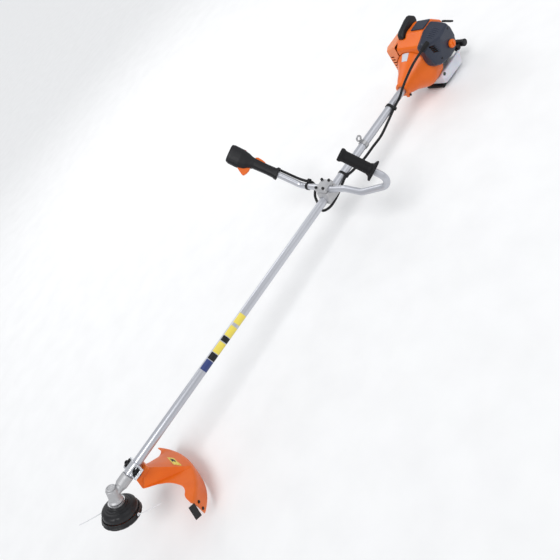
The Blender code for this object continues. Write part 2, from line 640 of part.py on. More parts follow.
def crankcase_and_cylinder():
    case = lathe("crankcase",
                 [(0, FAN_REAR + GAP), (CASE_R, FAN_REAR + GAP), (CASE_R, CASE_REAR - GAP),
                  (0, CASE_REAR - GAP)], AT_TUBE, 24)
    join(case, box("deck_guide", (0.050, 0.050, 0.030), (CYL_X, CYL_Y, 0.0350)))
    up_bore = Matrix.Translation((CYL_X, CYL_Y, 0))
    cut(case, rod("crank_room_guide", 0.0290, FAN_REAR + 0.006, CASE_REAR - 0.008, AT_TUBE, 20),
        rod("crank_way_guide", 0.0064, FAN_REAR - 0.01, CASE_REAR + 0.01, AT_TUBE, 16),
        rod("bore_way_guide", 0.0195, 0.0, 0.060, up_bore, 20))
    fins = [(0.0180, 0.0503), (0.0225, 0.0503)]
    for k in range(4):
        level = 0.0580 + 0.0100 * k
        fins += [(0.0225, level), (0.0285, level + 0.0003), (0.0285, level + 0.0027), (0.0225, level + 0.003)]
    fins += [(0.0200, 0.0985), (0.0055, 0.1010), (0.0055, 0.0960), (0.0180, 0.0940)]
    lathe("cylinder", fins, up_bore, 16)
    lathe("piston",
          [(0, 0.0935), (0.0172, 0.0935), (0.0172, 0.0640), (0.0150, 0.0640), (0.0150, 0.0890),
           (0, 0.0890)], up_bore, 16)
    lathe("spark_plug",
          [(0, 0.0965), (0.0050, 0.0965), (0.0050, 0.1016), (0.0075, 0.1016), (0.0075, 0.1034),
           (0.0045, 0.1036), (0.0030, 0.1040), (0, 0.1041)], up_bore, 12)


def covers():
    fan_way = rod("fan_way_guide", FAN_R + GAP, 1.55, FAN_REAR + 0.0006, AT_TUBE, 28)
    start_way = rod("starter_way_guide", STARTER_R + GAP, CASE_REAR - 0.0006, 1.80, AT_TUBE, 28)
    left, right = SIDE_LEFT + GAP, SIDE_RIGHT - GAP
    cowl = hull("engine_cowl",
                [(x, y, z) for y in (left, right) for x, z in
                 ((1.5990, -0.004), (1.6010, 0.088), (1.6440, COWL_TOP), (1.6960, COWL_TOP),
                  (1.7320, 0.082), (1.7320, 0.010), (1.7200, -0.004))], bevel=0.004)
    room = hull("cowl_room_guide",
                [(x, y, z) for y in (left + 0.003, right - 0.003) for x, z in
                 ((1.5900, -0.02), (1.6045, 0.086), (1.6455, COWL_TOP - 0.003),
                  (1.6945, COWL_TOP - 0.003), (1.7285, 0.081), (1.7285, 0.010), (1.7200, -0.02))])
    cap_step = box("cap_step_guide", (0.120, 0.0281, 0.030), (1.671, 0.02275, CAP_BASE - GAP + 0.015))
    cut(cowl, room, cap_step, fan_way, start_way)

    box("top_strip", (0.044, 0.0500, 0.0045), (1.6680, -0.0350, COWL_TOP + GAP + 0.00225), bevel=0.0012)

    near, far = 0.0095, 0.0360
    cap = hull("top_cap",
               [(1.6225, near, CAP_BASE), (1.7120, near, CAP_BASE), (1.7150, far, CAP_BASE),
                (1.6245, far, CAP_BASE), (1.6240, near + 0.002, 0.1160), (1.6420, near + 0.003, 0.1280),
                (1.6700, near + 0.004, 0.1345), (1.7000, near + 0.004, 0.1350),
                (1.7150, near + 0.002, 0.1220), (1.6255, far - 0.002, 0.1190),
                (1.6400, far - 0.004, 0.1300), (1.6680, far - 0.005, 0.1370),
                (1.7020, far - 0.005, 0.1390), (1.7180, far - 0.003, 0.1250)], bevel=0.004)
    wall = 0.003
    cut(cap, hull("cap_room_guide",
                  [(1.6265, near + wall, CAP_BASE - 0.01), (1.7080, near + wall, CAP_BASE - 0.01),
                   (1.7110, far - wall, CAP_BASE - 0.01), (1.6285, far - wall, CAP_BASE - 0.01),
                   (1.6275, near + wall + 0.002, 0.1130), (1.6440, near + wall + 0.003, 0.1240),
                   (1.6980, near + wall + 0.004, 0.1310), (1.7110, near + wall + 0.002, 0.1200),
                   (1.6290, far - wall - 0.002, 0.1155), (1.6420, far - wall - 0.004, 0.1260),
                   (1.6990, far - wall - 0.005, 0.1350), (1.7140, far - wall - 0.003, 0.1230)]))

    edge = SIDE_RIGHT
    exhaust = hull("muffler_cover",
                   [(1.6000, edge, -0.016), (1.6000, edge, 0.1020), (1.7140, edge, 0.1020),
                    (1.7140, edge, -0.016), (1.6000, 0.0780, -0.006), (1.5990, 0.0790, 0.0900),
                    (1.6280, 0.1000, 0.0080), (1.6280, 0.1000, 0.0840), (1.6950, 0.1000, 0.0080),
                    (1.6950, 0.1000, 0.0840), (1.7130, 0.0760, 0.0900), (1.7130, 0.0760, -0.0060)],
                   bevel=0.004)
    cut(exhaust, hull("exhaust_room_guide",
                      [(1.6035, edge - 0.01, -0.013), (1.6035, edge - 0.01, 0.0985),
                       (1.7105, edge - 0.01, 0.0985), (1.7105, edge - 0.01, -0.013),
                       (1.6035, 0.0765, -0.004), (1.6030, 0.0770, 0.0880), (1.6300, 0.0965, 0.0100),
                       (1.6300, 0.0965, 0.0820), (1.6930, 0.0965, 0.0100), (1.6930, 0.0965, 0.0820),
                       (1.7095, 0.0750, 0.0880), (1.7095, 0.0750, -0.0040)]),
        fan_way)
    for k in range(6):
        level = 0.0060 + 0.0110 * k
        cut(exhaust, box(f"louvre_guide_{k}", (0.010, 0.0200, 0.0045), (1.6015, 0.0705, level)))
    muffler = box("muffler", (0.056, 0.034, 0.054), (1.6760, 0.0660, 0.0560), bevel=0.008)
    outlet = stand((1.6760, 0.0660, 0.0560), SIDE, ALONG)
    cut(muffler, rod("outlet_guide", 0.0065, 0.008, 0.030, outlet, 12))


def air_box():
    outer = [(1.5980, -0.0990, 0.0930), (1.5750, -0.0930, 0.0860), (1.5910, -0.0975, 0.0200),
             (1.6120, -0.0990, 0.0050), (1.6630, -0.1000, -0.0080), (1.6930, -0.0990, -0.0040),
             (1.7170, -0.0970, 0.0300), (1.7120, -0.1000, 0.0630), (1.7030, -0.1000, 0.0845),
             (1.6450, -0.1070, 0.0800), (1.6430, -0.0670, 0.1160), (1.6800, -0.0670, 0.1160),
             (1.6900, -0.0760, 0.1060), (1.5900, -0.0800, 0.1080)]
    rim = [(1.5840, 0.0950), (1.6430, 0.1160), (1.6820, 0.1160), (1.7180, 0.0850), (1.7300, 0.0300),
           (1.7020, -0.0100), (1.6640, -0.0140), (1.6080, 0.0000), (1.5900, 0.0200)]
    face = SIDE_LEFT - GAP
    cover = hull("air_filter_cover", outer + [(x, face, z) for x, z in rim], bevel=0.0035)
    centre = Vector((1.650, face, 0.050))
    inner = [centre + (Vector(p) - centre) * 0.93 for p in outer]
    inner += [centre + (Vector((x, face + 0.01, z)) - centre) * 0.93 for x, z in rim]
    cut(cover, hull("air_room_guide", [(p[0], p[1] + 0.0005, p[2]) for p in inner]),
        rod("fan_way_guide_2", FAN_R + GAP, 1.55, FAN_REAR + 0.0006, AT_TUBE, 28),
        rod("starter_way_guide_2", STARTER_R + GAP, CASE_REAR - 0.0006, 1.80, AT_TUBE, 28))
    for k in range(4):
        spot = Matrix.Translation((1.6050 + 0.0018 * k, -0.103, 0.0780 - 0.0073 * k))
        cut(cover, box(f"air_slot_guide_{k}", (0.0220, 0.030, 0.0030), (0, 0, 0),
                       spot @ Matrix.Rotation(radians(31), 4, "Y")))
    knob_at = stand((1.6790, -0.1030, 0.0270), -SIDE, ALONG)
    lathe("filter_knob", [(0, 0), (0.0130, 0), (0.0138, 0.0030), (0.0130, 0.0080), (0.0110, 0.0100),
                          (0, 0.0100)], knob_at, 20)
    body = box("carburettor", (0.044, 0.022, 0.046), (1.6720, -0.0780, 0.0440), bevel=0.003)
    cut(body, rod("throat_guide", 0.0080, -0.03, 0.03, stand((1.672, -0.078, 0.050), SIDE, ALONG), 16))


def rear_end():
    starter = lathe("starter_housing",
                    [(0, STARTER_REAR), (0.0480, STARTER_REAR), (0.0620, 1.7500), (STARTER_R, 1.7400),
                     (STARTER_R, CASE_REAR), (0.0630, CASE_REAR), (0.0630, 1.7390), (0.0600, 1.7475),
                     (0.0470, 1.7550), (0, 1.7550)], AT_TUBE, 28)
    rope_at = Matrix.Translation((0, -0.0480, -0.0490)) @ AT_TUBE
    join(starter, rod("rope_boss_guide", 0.0095, 1.7475, 1.7612, rope_at, 16))
    cut(starter, rod("rope_guide", 0.0030, 1.74, 1.77, rope_at, 10))
    handle_at = Matrix.Translation((1.7790, -0.0480, -0.0490))
    grip = lathe("starter_handle",
                 [(0, -0.018), (0.0100, -0.018), (0.0125, -0.015), (0.0115, -0.007), (0.0115, 0.007),
                  (0.0125, 0.015), (0.0100, 0.018), (0, 0.018)], handle_at @ stand((0, 0, 0), SIDE, UP), 16)
    stem = rod("stem_guide", 0.0055, -0.0170, 0.0, handle_at @ stand((0, 0, 0), ALONG, UP), 12)
    join(grip, stem)
    slope = Vector((0.065, 0.0, -0.055)).normalized()
    at_lever = frame_at((1.7245, -0.0720, 0.0800), slope, UP)
    box("choke_lever", (0.046, 0.0130, 0.0060), (0.020, 0, 0), at_lever, 0.0015)


FILLER = (1.7400, 0.0400, -0.0800)
FILLER_AXIS = (0.987, 0.0, -0.162)


def tank_and_foot():
    wrap = rod("tank_way_guide", FAN_R + 0.0012, 1.55, 1.80, AT_TUBE, 28)
    corners = [(x, side * y, z) for side in (-1, 1) for x, y, z in
               ((1.6280, 0.0665, -0.0450), (1.6280, 0.0665, -0.0680), (1.6420, 0.0470, TANK_BOTTOM),
                (1.7200, 0.0470, TANK_BOTTOM), (1.7380, 0.0610, -0.0920), (1.7457, 0.0665, -0.0450))]
    tank = hull("fuel_tank", corners, bevel=0.006)
    hollow = box("fuel_room_guide", (0.067, 0.080, 0.016), (1.6885, 0, -0.0880))
    neck = stand(FILLER, FILLER_AXIS, SIDE)
    inlet = stand(FILLER, (0.95, 0.0, 0.30), SIDE)
    cut(tank, wrap, hollow, rod("filler_guide", 0.0108, -0.018, 0.020, neck, 16),
        rod("inlet_guide", 0.0070, -0.030, -0.010, inlet, 12))
    cap_at = stand(FILLER, FILLER_AXIS, SIDE)
    lathe("fuel_cap", [(0, -0.0120), (0.0100, -0.0120), (0.0100, 0.0016), (0.0170, 0.0016),
                       (0.0170, 0.0110), (0.0150, 0.0130), (0, 0.0130)], cap_at, 20)
    slope = tan(REST_TILT)
    low = FOOT_BOTTOM
    outline = [(1.6400, low + slope * (1.6400 - FOOT_X)), (1.6900, low + slope * (1.6900 - FOOT_X)),
               (1.6940, TANK_BOTTOM - GAP - 0.004), (1.6940, TANK_BOTTOM - GAP),
               (1.6500, TANK_BOTTOM - GAP), (1.6360, TANK_BOTTOM - GAP - 0.006)]
    prism("engine_foot", outline, -0.0340, 0.0340, LEFTWARD)


# ---------------------------------------------------------------- finishes
FINISHES = {
    "painted silver tube": (SILVER, 0.35, 0.6, ["drive_tube", "handlebar"]),
    "cast aluminium": (CAST, 0.5, 0.6, ["gearbox_housing", "gearbox_cap", "bar_clamp_base", "bar_clamp_cap",
                                        "crankcase", "cylinder", "flywheel", "piston", "carburettor"]),
    "steel": (STEEL, 0.35, 1.0, ["drive_shaft", "drive_pinion", "output_gear", "output_spindle",
                                 "crankshaft", "clutch_drum", "clutch_shoes", "muffler",
                                 "spark_plug", "harness_hanger"]),
    "bright steel": (CHROME, 0.2, 1.0, ["guard_strap", "guard_plate"]),
    "black plastic": (BLACK, 0.45, 0.0, ["head_cover", "head_base", "bump_knob", "line_knife", "top_cap",
                                         "throttle_grip_front", "throttle_grip_rear", "control_cable",
                                         "cable_band", "cable_clip",
                                         "starter_housing", "starter_handle", "fuel_cap", "engine_foot",
                                         "tube_bush", "choke_lever"]),
    "grip rubber": (BLACK, 0.7, 0.0, ["left_grip"]),
    "black oxide screws": (BLACK, 0.4, 0.8, ["guard_bolt_1", "guard_bolt_2", "clamp_bolt_1",
                                             "clamp_bolt_2", "clamp_bolt_3", "clamp_bolt_4"]),
    "orange plastic": (ORANGE, 0.35, 0.0, ["guard", "clutch_housing", "engine_cowl", "filter_knob",
                                           "throttle_trigger", "lockout_lever", "line_spool"]),
    "light orange plastic": (SALMON, 0.4, 0.0, ["muffler_cover"]),
    "slate plastic": (SLATE, 0.4, 0.0, ["air_filter_cover", "top_strip"]),
    "red plastic": (RED, 0.4, 0.0, ["stop_switch"]),
    "translucent tank": (WHITE, 0.3, 0.0, ["fuel_tank"]),
    "nylon line": (NYLON, 0.3, 0.0, ["line_end_1", "line_end_2"]),
}


def dress():
    for finish, (colour, rough, metal, names) in FINISHES.items():
        surface = paint(finish, colour, rough, metal)
        for name in names:
            bpy.data.objects[name].data.materials.append(surface)


def set_down():
    """Hangs every piece from one empty and tips the empty onto the ground."""
    base = bpy.data.objects.new("trimmer", None)
    bpy.context.scene.collection.objects.link(base)
    for item in list(bpy.data.objects):
        if item is not base:
            item.parent = base
    base.location = (-REST_BACK, -REST_SIDE, REST_LIFT)
    base.rotation_euler = (0.0, REST_TILT, 0.0)


def main():
    clear_scene()
    drive_line()
    gearbox()
    line_head()
    guard()
    guard_mount()
    harness_hanger()
    bar_clamp()
    handlebar()
    throttle_grip()
    control_cable()
    crank_train()
    clutch_housing()
    crankcase_and_cylinder()
    covers()
    air_box()
    rear_end()
    tank_and_foot()
    dress()
    set_down()
    bpy.context.view_layer.update()


main()
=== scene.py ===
# %% [markdown]
# # A petrol string trimmer
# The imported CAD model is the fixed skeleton: every gear, shaft and cover sits where the part's
# source put it.  This lesson dresses it.  Smooth outer pieces are worked out with numpy as surfaces
# of two parameters, and faceted mouldings are softened copies of their CAD nodes.

# %% Load the frame
import json
from math import cos, radians, sin, tan

import bmesh
import bpy
import numpy as np
from mathutils import Matrix, Vector

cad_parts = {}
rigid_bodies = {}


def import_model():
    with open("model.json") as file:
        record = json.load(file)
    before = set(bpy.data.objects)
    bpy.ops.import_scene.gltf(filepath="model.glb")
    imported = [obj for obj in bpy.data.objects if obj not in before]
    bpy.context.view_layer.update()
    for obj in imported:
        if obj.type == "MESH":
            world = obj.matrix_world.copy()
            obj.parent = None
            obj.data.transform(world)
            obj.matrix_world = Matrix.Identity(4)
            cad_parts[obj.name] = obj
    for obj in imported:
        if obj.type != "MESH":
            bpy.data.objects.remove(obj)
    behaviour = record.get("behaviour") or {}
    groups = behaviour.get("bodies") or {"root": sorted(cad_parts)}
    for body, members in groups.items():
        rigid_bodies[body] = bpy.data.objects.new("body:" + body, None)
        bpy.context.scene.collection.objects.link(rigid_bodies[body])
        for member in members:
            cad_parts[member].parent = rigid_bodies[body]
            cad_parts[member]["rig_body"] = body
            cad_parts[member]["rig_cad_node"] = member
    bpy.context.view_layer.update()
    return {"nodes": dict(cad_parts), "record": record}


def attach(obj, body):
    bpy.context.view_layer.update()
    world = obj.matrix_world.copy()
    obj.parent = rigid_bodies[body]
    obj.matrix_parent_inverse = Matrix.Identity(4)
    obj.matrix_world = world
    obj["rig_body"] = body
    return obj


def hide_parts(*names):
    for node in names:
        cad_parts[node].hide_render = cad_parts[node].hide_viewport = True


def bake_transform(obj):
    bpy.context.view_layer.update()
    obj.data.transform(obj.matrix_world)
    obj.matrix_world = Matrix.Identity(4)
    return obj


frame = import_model()

# %% [markdown]
# The tool was drawn along its own drive tube: X runs back from the bevel gears to the engine, Y to
# the operator's right and Z up.  It lies on the ground tipped by a few degrees, on its guard and on
# the foot under the engine, so one turn and one shift take every point to the ground frame.

# %% The tool's own frame
TILT = radians(3.1215)
SHIFT = np.array([-0.8502, -0.0086, 0.20344])
TURN = np.array([[cos(TILT), 0, sin(TILT)], [0, 1, 0], [-sin(TILT), 0, cos(TILT)]])
ALONG, SIDE, UP = np.eye(3)
SPINDLE = np.array([cos(radians(60)), 0, sin(radians(60))])
ACROSS = np.array([sin(radians(60)), 0, -cos(radians(60))])


def on_ground(points):
    """Row-frame place of points given in the tool's own frame: a turn about Y, then a shift."""
    return np.asarray(points, float) @ TURN.T + SHIFT


def unit(vector):
    vector = np.asarray(vector, float)
    return vector / np.linalg.norm(vector)


# %% [markdown]
# ## Camera
# A plain perspective camera stands to the left of the head and looks down along the tube, so the
# head is low in the picture and the engine is high.

# %% Camera
RIGHT = np.array([0.56237, -0.60110, -0.56782])
HIGH = np.array([0.79619, 0.20827, 0.56807])
BACK = np.array([-0.22321, -0.77156, 0.59571])
eye = bpy.data.cameras.new("camera")
eye.lens = 36.785
eye.sensor_width = 36.0
camera = bpy.data.objects.new("camera", eye)
bpy.context.scene.collection.objects.link(camera)
turn = Matrix((TURN @ RIGHT, TURN @ HIGH, TURN @ BACK)).transposed().to_4x4()
camera.matrix_world = Matrix.Translation(on_ground([0.36893, -1.33630, 0.99217])) @ turn
bpy.context.scene.camera = camera
print("camera height", round(camera.matrix_world.translation.z, 3), "m")

# %% [markdown]
# ## How a surface becomes a mesh
# Each new piece is a grid of points.  Index arithmetic on whole arrays gives the four corners of
# every face, and closed pieces get their normals recalculated once their poles are merged.

# %% Grid to mesh
SHARP = radians(34)


def dress(item, body, finish, stands_for=()):
    """Puts a finish on a piece, lets it ride on a CAD body and hides the nodes it stands for."""
    item.data.materials.clear()
    item.data.materials.append(finish)
    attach(item, body)
    if stands_for:
        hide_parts(*stands_for)
    return item


def mesh_piece(name, points, faces, closed=True, sharp=SHARP):
    mesh = bpy.data.meshes.new(name)
    mesh.from_pydata(points.tolist(), [], faces.tolist())
    work = bmesh.new()
    work.from_mesh(mesh)
    bmesh.ops.remove_doubles(work, verts=work.verts, dist=2e-6)
    bmesh.ops.dissolve_degenerate(work, edges=work.edges, dist=1e-7)
    if closed:
        bmesh.ops.recalc_face_normals(work, faces=work.faces)
    work.to_mesh(mesh)
    work.free()
    mesh.shade_smooth()
    mesh.set_sharp_from_angle(angle=sharp)
    item = bpy.data.objects.new(name, mesh)
    bpy.context.scene.collection.objects.link(item)
    return item


def grid_faces(rows, cols, wrap_rows=False, wrap_cols=False):
    """Corners of every quad of a rows x cols grid; a wrapped side joins its end to its start."""
    i = np.arange(rows if wrap_rows else rows - 1)[:, None]
    j = np.arange(cols if wrap_cols else cols - 1)[None, :]
    a, b = i, (i + 1) % rows
    c, d = j, (j + 1) % cols
    return np.stack([a * cols + c, a * cols + d, b * cols + d, b * cols + c], axis=-1).reshape(-1, 4)


def surface(name, grid, wrap_rows=False, wrap_cols=False, closed=True, sharp=SHARP):
    """A mesh through grid[row, column]; the tool's own frame in, the ground frame out."""
    rows, cols = grid.shape[:2]
    points = on_ground(grid.reshape(-1, 3))
    return mesh_piece(name, points, grid_faces(rows, cols, wrap_rows, wrap_cols), closed, sharp)


# %% [markdown]
# ## Turned pieces
# Most of the tool is turned: tube, caps, head, knobs.  A turned surface is a profile of (radius,
# height) carried round an axis.  Real edges are never knife sharp, so each corner of a profile is
# first cut back to a small arc.

# %% Turning and sweeping
def eased(outline, radius, points=5, closed=False):
    """Replaces each corner P of an outline by the curve (1-t)^2 A + 2t(1-t) P + t^2 B.

    A and B lie on the two sides at the given distance from P, or nearer on a short side.
    """
    outline = np.array(outline, float)
    t = np.linspace(0, 1, points)[:, None]
    before = np.roll(outline, 1, axis=0)
    after = np.roll(outline, -1, axis=0)
    pieces = []
    for k, corner in enumerate(outline):
        if not closed and k in (0, len(outline) - 1):
            pieces.append(corner[None])
            continue
        one, two = before[k] - corner, after[k] - corner
        first = corner + one * min(0.45, radius / np.linalg.norm(one))
        last = corner + two * min(0.45, radius / np.linalg.norm(two))
        pieces.append((1 - t) ** 2 * first + 2 * t * (1 - t) * corner + t ** 2 * last)
    return np.vstack(pieces)


def turned_grid(profile, origin, axis, start, steps=64, wave=None):
    """Point = origin + axis h + r (cos a X + sin a Y), with r and h from the profile row.

    wave(angle, height, radius) may scale the radius, which cuts flutes and notches.
    """
    z = unit(axis)
    x = unit(np.asarray(start, float) - z * np.dot(start, z))
    y = np.cross(z, x)
    angle = np.linspace(0, 2 * np.pi, steps, endpoint=False)
    r, h = profile[:, :1], profile[:, 1:]
    scale = wave(angle[None, :], h, r) if wave else 1.0
    ring = np.cos(angle)[:, None] * x + np.sin(angle)[:, None] * y
    return np.asarray(origin, float) + (r * scale * np.ones_like(angle))[..., None] * ring \
        + h[..., None] * z


def turned(name, outline, origin, axis, start=SIDE, steps=64, ease=0.0006, loop=False, wave=None):
    """A turned solid; a loop outline makes a ring, an open one starts and ends on the axis."""
    profile = eased(outline, ease, closed=loop)
    grid = turned_grid(profile, origin, axis, start, steps, wave)
    return surface(name, grid, wrap_rows=loop, wrap_cols=True)


def carried(path):
    """Direction and two cross directions at each path point, carried along without twist."""
    ahead = np.gradient(path, axis=0)
    ahead /= np.linalg.norm(ahead, axis=1)[:, None]
    seed = UP if abs(ahead[0] @ UP) < 0.9 else SIDE
    normal = [unit(seed - ahead[0] * (ahead[0] @ seed))]
    for direction in ahead[1:]:
        last = normal[-1]
        normal.append(unit(last - direction * (direction @ last)))
    normal = np.array(normal)
    return ahead, normal, np.cross(ahead, normal)


def swept(name, path, radius, steps=24, caps=True):
    """Point = path(s) + r(s) (cos a N + sin a B); both ends are drawn together into a cap."""
    path = np.asarray(path, float)
    radius = np.broadcast_to(np.asarray(radius, float), len(path)).copy()
    ahead, normal, across = carried(path)
    if caps:
        path = np.vstack([path[:1], path, path[-1:]])
        radius = np.r_[0.0, radius, 0.0]
        normal = np.vstack([normal[:1], normal, normal[-1:]])
        across = np.vstack([across[:1], across, across[-1:]])
    angle = np.linspace(0, 2 * np.pi, steps, endpoint=False)
    ring = np.cos(angle)[None, :, None] * normal[:, None] + np.sin(angle)[None, :, None] * across[:, None]
    return surface(name, path[:, None] + radius[:, None, None] * ring, wrap_cols=True, sharp=radians(50))


def even_curve(points, count):
    """Catmull-Rom curve through the points, read at even steps of its length."""
    p = np.array(points, float)
    p = np.vstack([2 * p[0] - p[1], p, 2 * p[-1] - p[-2]])
    t = np.linspace(0, 1, 40, endpoint=False)[None, :, None]
    a, b, c, d = (p[k:len(p) - 3 + k, None] for k in range(4))
    dense = 0.5 * (2 * b + (c - a) * t + (2 * a - 5 * b + 4 * c - d) * t ** 2
                   + (3 * b - a - 3 * c + d) * t ** 3)
    dense = np.vstack([dense.reshape(-1, 3), p[-2]])
    run = np.r_[0, np.cumsum(np.linalg.norm(np.diff(dense, axis=0), axis=1))]
    even = np.linspace(0, run[-1], count)
    return np.stack([np.interp(even, run, dense[:, k]) for k in range(3)], axis=1)


def lump(name, centre, axes, size, power=4.0, rows=20, cols=40):
    """A rounded block: |x/a|^p + |y/b|^p + |z/c|^p = 1, read along the directions of a sphere."""
    lift = np.linspace(-np.pi / 2, np.pi / 2, rows)[:, None]
    turn_by = np.linspace(0, 2 * np.pi, cols, endpoint=False)[None, :]
    way = np.stack([np.cos(lift) * np.cos(turn_by), np.cos(lift) * np.sin(turn_by),
                    np.sin(lift) * np.ones_like(turn_by)], axis=-1)
    half = np.asarray(size, float) / 2
    reach = (np.abs(way / half) ** power).sum(axis=-1) ** (-1 / power)
    local = way * reach[..., None]
    return surface(name, np.asarray(centre, float) + local @ np.asarray(axes, float), wrap_cols=True)


# %% [markdown]
# ## Softened mouldings
# The engine's covers are faceted in the CAD model.  Moulded plastic has rounded edges, so a copy of
# the node is merged, remeshed in small even cells and smoothed.  The shape and place stay the same.

# %% Softening a CAD node
def soften(item, cell, rounds):
    """Rebuilds the mesh from cells of one size, then averages neighbours a few times."""
    remesh = item.modifiers.new("cells", "REMESH")
    remesh.mode = "VOXEL"
    remesh.voxel_size = cell
    smooth = item.modifiers.new("round", "SMOOTH")
    smooth.factor = 0.5
    smooth.iterations = rounds
    bpy.context.view_layer.update()
    ready = bpy.data.meshes.new_from_object(item.evaluated_get(bpy.context.evaluated_depsgraph_get()))
    item.modifiers.clear()
    item.data = ready
    ready.shade_smooth()


def softened(node, cell, rounds=6):
    source = frame["nodes"][node]
    item = source.copy()
    item.data = source.data.copy()
    item.name = f"{node}_moulded"
    item.parent = None
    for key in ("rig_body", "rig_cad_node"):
        if key in item:
            del item[key]
    bpy.context.scene.collection.objects.link(item)
    work = bmesh.new()
    work.from_mesh(item.data)
    bmesh.ops.remove_doubles(work, verts=work.verts, dist=1e-6)
    work.to_mesh(item.data)
    work.free()
    soften(item, cell, rounds)
    return item


# %% [markdown]
# ## Finishes
# Every finish is made of nodes on Object coordinates: a broad noise drifts the colour and the
# gloss, a fine one raises the grain, and sharp outer edges are a little paler where hands and
# grass have rubbed them.

# %% Finish builder
def finish(name, colour, shade, rough, grain=900.0, relief=0.12, metal=0.0, blotch=9.0,
           stretch=(1, 1, 1), worn=None, speck=0.0, pattern="noise", shine=0.5):
    made = bpy.data.materials.new(name)
    made.use_nodes = True
    nodes, links = made.node_tree.nodes, made.node_tree.links
    skin = nodes["Principled BSDF"]
    skin.inputs["Metallic"].default_value = metal
    skin.inputs["Specular IOR Level"].default_value = shine
    where = nodes.new("ShaderNodeTexCoord")
    lay = nodes.new("ShaderNodeMapping")
    lay.inputs["Scale"].default_value = stretch
    links.new(where.outputs["Object"], lay.inputs["Vector"])
    drift = nodes.new("ShaderNodeTexNoise")
    drift.inputs["Scale"].default_value = blotch
    drift.inputs["Detail"].default_value = 5.0
    links.new(lay.outputs["Vector"], drift.inputs["Vector"])
    fine = nodes.new("ShaderNodeTexVoronoi" if pattern == "cells" else "ShaderNodeTexNoise")
    fine.inputs["Scale"].default_value = grain
    links.new(lay.outputs["Vector"], fine.inputs["Vector"])
    height = fine.outputs["Distance"] if pattern == "cells" else fine.outputs[0]
    tone = nodes.new("ShaderNodeMix")
    tone.data_type = "RGBA"
    tone.inputs["A"].default_value = (*colour, 1)
    tone.inputs["B"].default_value = (*shade, 1)
    spread = nodes.new("ShaderNodeMapRange")
    spread.inputs["From Min"].default_value = 0.35
    spread.inputs["From Max"].default_value = 0.70
    links.new(drift.outputs[0], spread.inputs["Value"])
    links.new(spread.outputs[0], tone.inputs["Factor"])
    colour_out = tone.outputs["Result"]
    if speck:
        dots = nodes.new("ShaderNodeMix")
        dots.data_type = "RGBA"
        dots.inputs["B"].default_value = (*(min(1.0, c * 1.6 + 0.02) for c in colour), 1)
        gate = nodes.new("ShaderNodeMapRange")
        gate.inputs["From Min"].default_value = 0.62
        gate.inputs["From Max"].default_value = 0.74
        gate.inputs["To Max"].default_value = speck
        links.new(fine.outputs[0], gate.inputs["Value"])
        links.new(gate.outputs[0], dots.inputs["Factor"])
        links.new(colour_out, dots.inputs["A"])
        colour_out = dots.outputs["Result"]
    if worn:
        edge = nodes.new("ShaderNodeNewGeometry")
        rub = nodes.new("ShaderNodeMapRange")
        rub.inputs["From Min"].default_value = 0.53
        rub.inputs["From Max"].default_value = 0.62
        rub.inputs["To Max"].default_value = 0.55
        pale = nodes.new("ShaderNodeMix")
        pale.data_type = "RGBA"
        pale.inputs["B"].default_value = (*worn, 1)
        links.new(edge.outputs["Pointiness"], rub.inputs["Value"])
        links.new(rub.outputs[0], pale.inputs["Factor"])
        links.new(colour_out, pale.inputs["A"])
        colour_out = pale.outputs["Result"]
    links.new(colour_out, skin.inputs["Base Color"])
    gloss = nodes.new("ShaderNodeMapRange")
    gloss.inputs["To Min"].default_value = rough[0]
    gloss.inputs["To Max"].default_value = rough[1]
    links.new(drift.outputs[0], gloss.inputs["Value"])
    links.new(gloss.outputs[0], skin.inputs["Roughness"])
    bump = nodes.new("ShaderNodeBump")
    bump.inputs["Strength"].default_value = relief
    bump.inputs["Distance"].default_value = 0.0006
    links.new(height, bump.inputs["Height"])
    links.new(bump.outputs["Normal"], skin.inputs["Normal"])
    return made


# %% The tool's finishes
SILVER = finish("silver paint", (0.56, 0.57, 0.61), (0.48, 0.49, 0.53), (0.24, 0.36), 1800, 0.05, 0.6,
                stretch=(0.15, 1, 1))
CAST = finish("cast aluminium", (0.50, 0.50, 0.51), (0.38, 0.38, 0.39), (0.42, 0.60), 1300, 0.35, 0.55,
              worn=(0.75, 0.75, 0.76), speck=0.25)
STEEL = finish("machined steel", (0.46, 0.46, 0.47), (0.36, 0.36, 0.37), (0.25, 0.40), 1500, 0.10, 1.0)
CHROME = finish("polished strap", (0.78, 0.79, 0.82), (0.66, 0.67, 0.70), (0.10, 0.22), 900, 0.04, 1.0,
                stretch=(1, 6, 6))
BLACK = finish("grained black nylon", (0.006, 0.006, 0.008), (0.010, 0.010, 0.012), (0.34, 0.50), 1500,
               0.22, shine=0.3, worn=(0.035, 0.035, 0.038), pattern="cells")
HEAD_BLACK = finish("scuffed black nylon", (0.008, 0.008, 0.010), (0.016, 0.016, 0.017), (0.30, 0.46),
                    900, 0.16, blotch=30, shine=0.35, worn=(0.05, 0.05, 0.053), speck=0.08)
RUBBER = finish("grip rubber", (0.005, 0.005, 0.006), (0.009, 0.009, 0.010), (0.55, 0.72), 1700, 0.30,
                shine=0.25, pattern="cells")
CONDUIT = finish("cable conduit", (0.004, 0.004, 0.005), (0.008, 0.008, 0.009), (0.36, 0.50), 1200, 0.15,
                 shine=0.3)
OXIDE = finish("black oxide", (0.020, 0.020, 0.022), (0.035, 0.034, 0.033), (0.30, 0.45), 1200, 0.10, 0.7,
               worn=(0.15, 0.15, 0.15))
ORANGE = finish("orange plastic", (0.80, 0.150, 0.006), (0.70, 0.115, 0.005), (0.26, 0.40), 1500, 0.10,
                shine=0.35, worn=(0.90, 0.24, 0.04))
GUARD_ORANGE = finish("guard orange", (0.80, 0.150, 0.008), (0.72, 0.120, 0.007), (0.28, 0.42), 1300,
                      0.12, blotch=14, shine=0.35, worn=(0.90, 0.26, 0.06))
SALMON = finish("light orange plastic", (0.84, 0.27, 0.11), (0.76, 0.22, 0.08), (0.38, 0.52), 1400, 0.12,
                worn=(0.93, 0.48, 0.33))
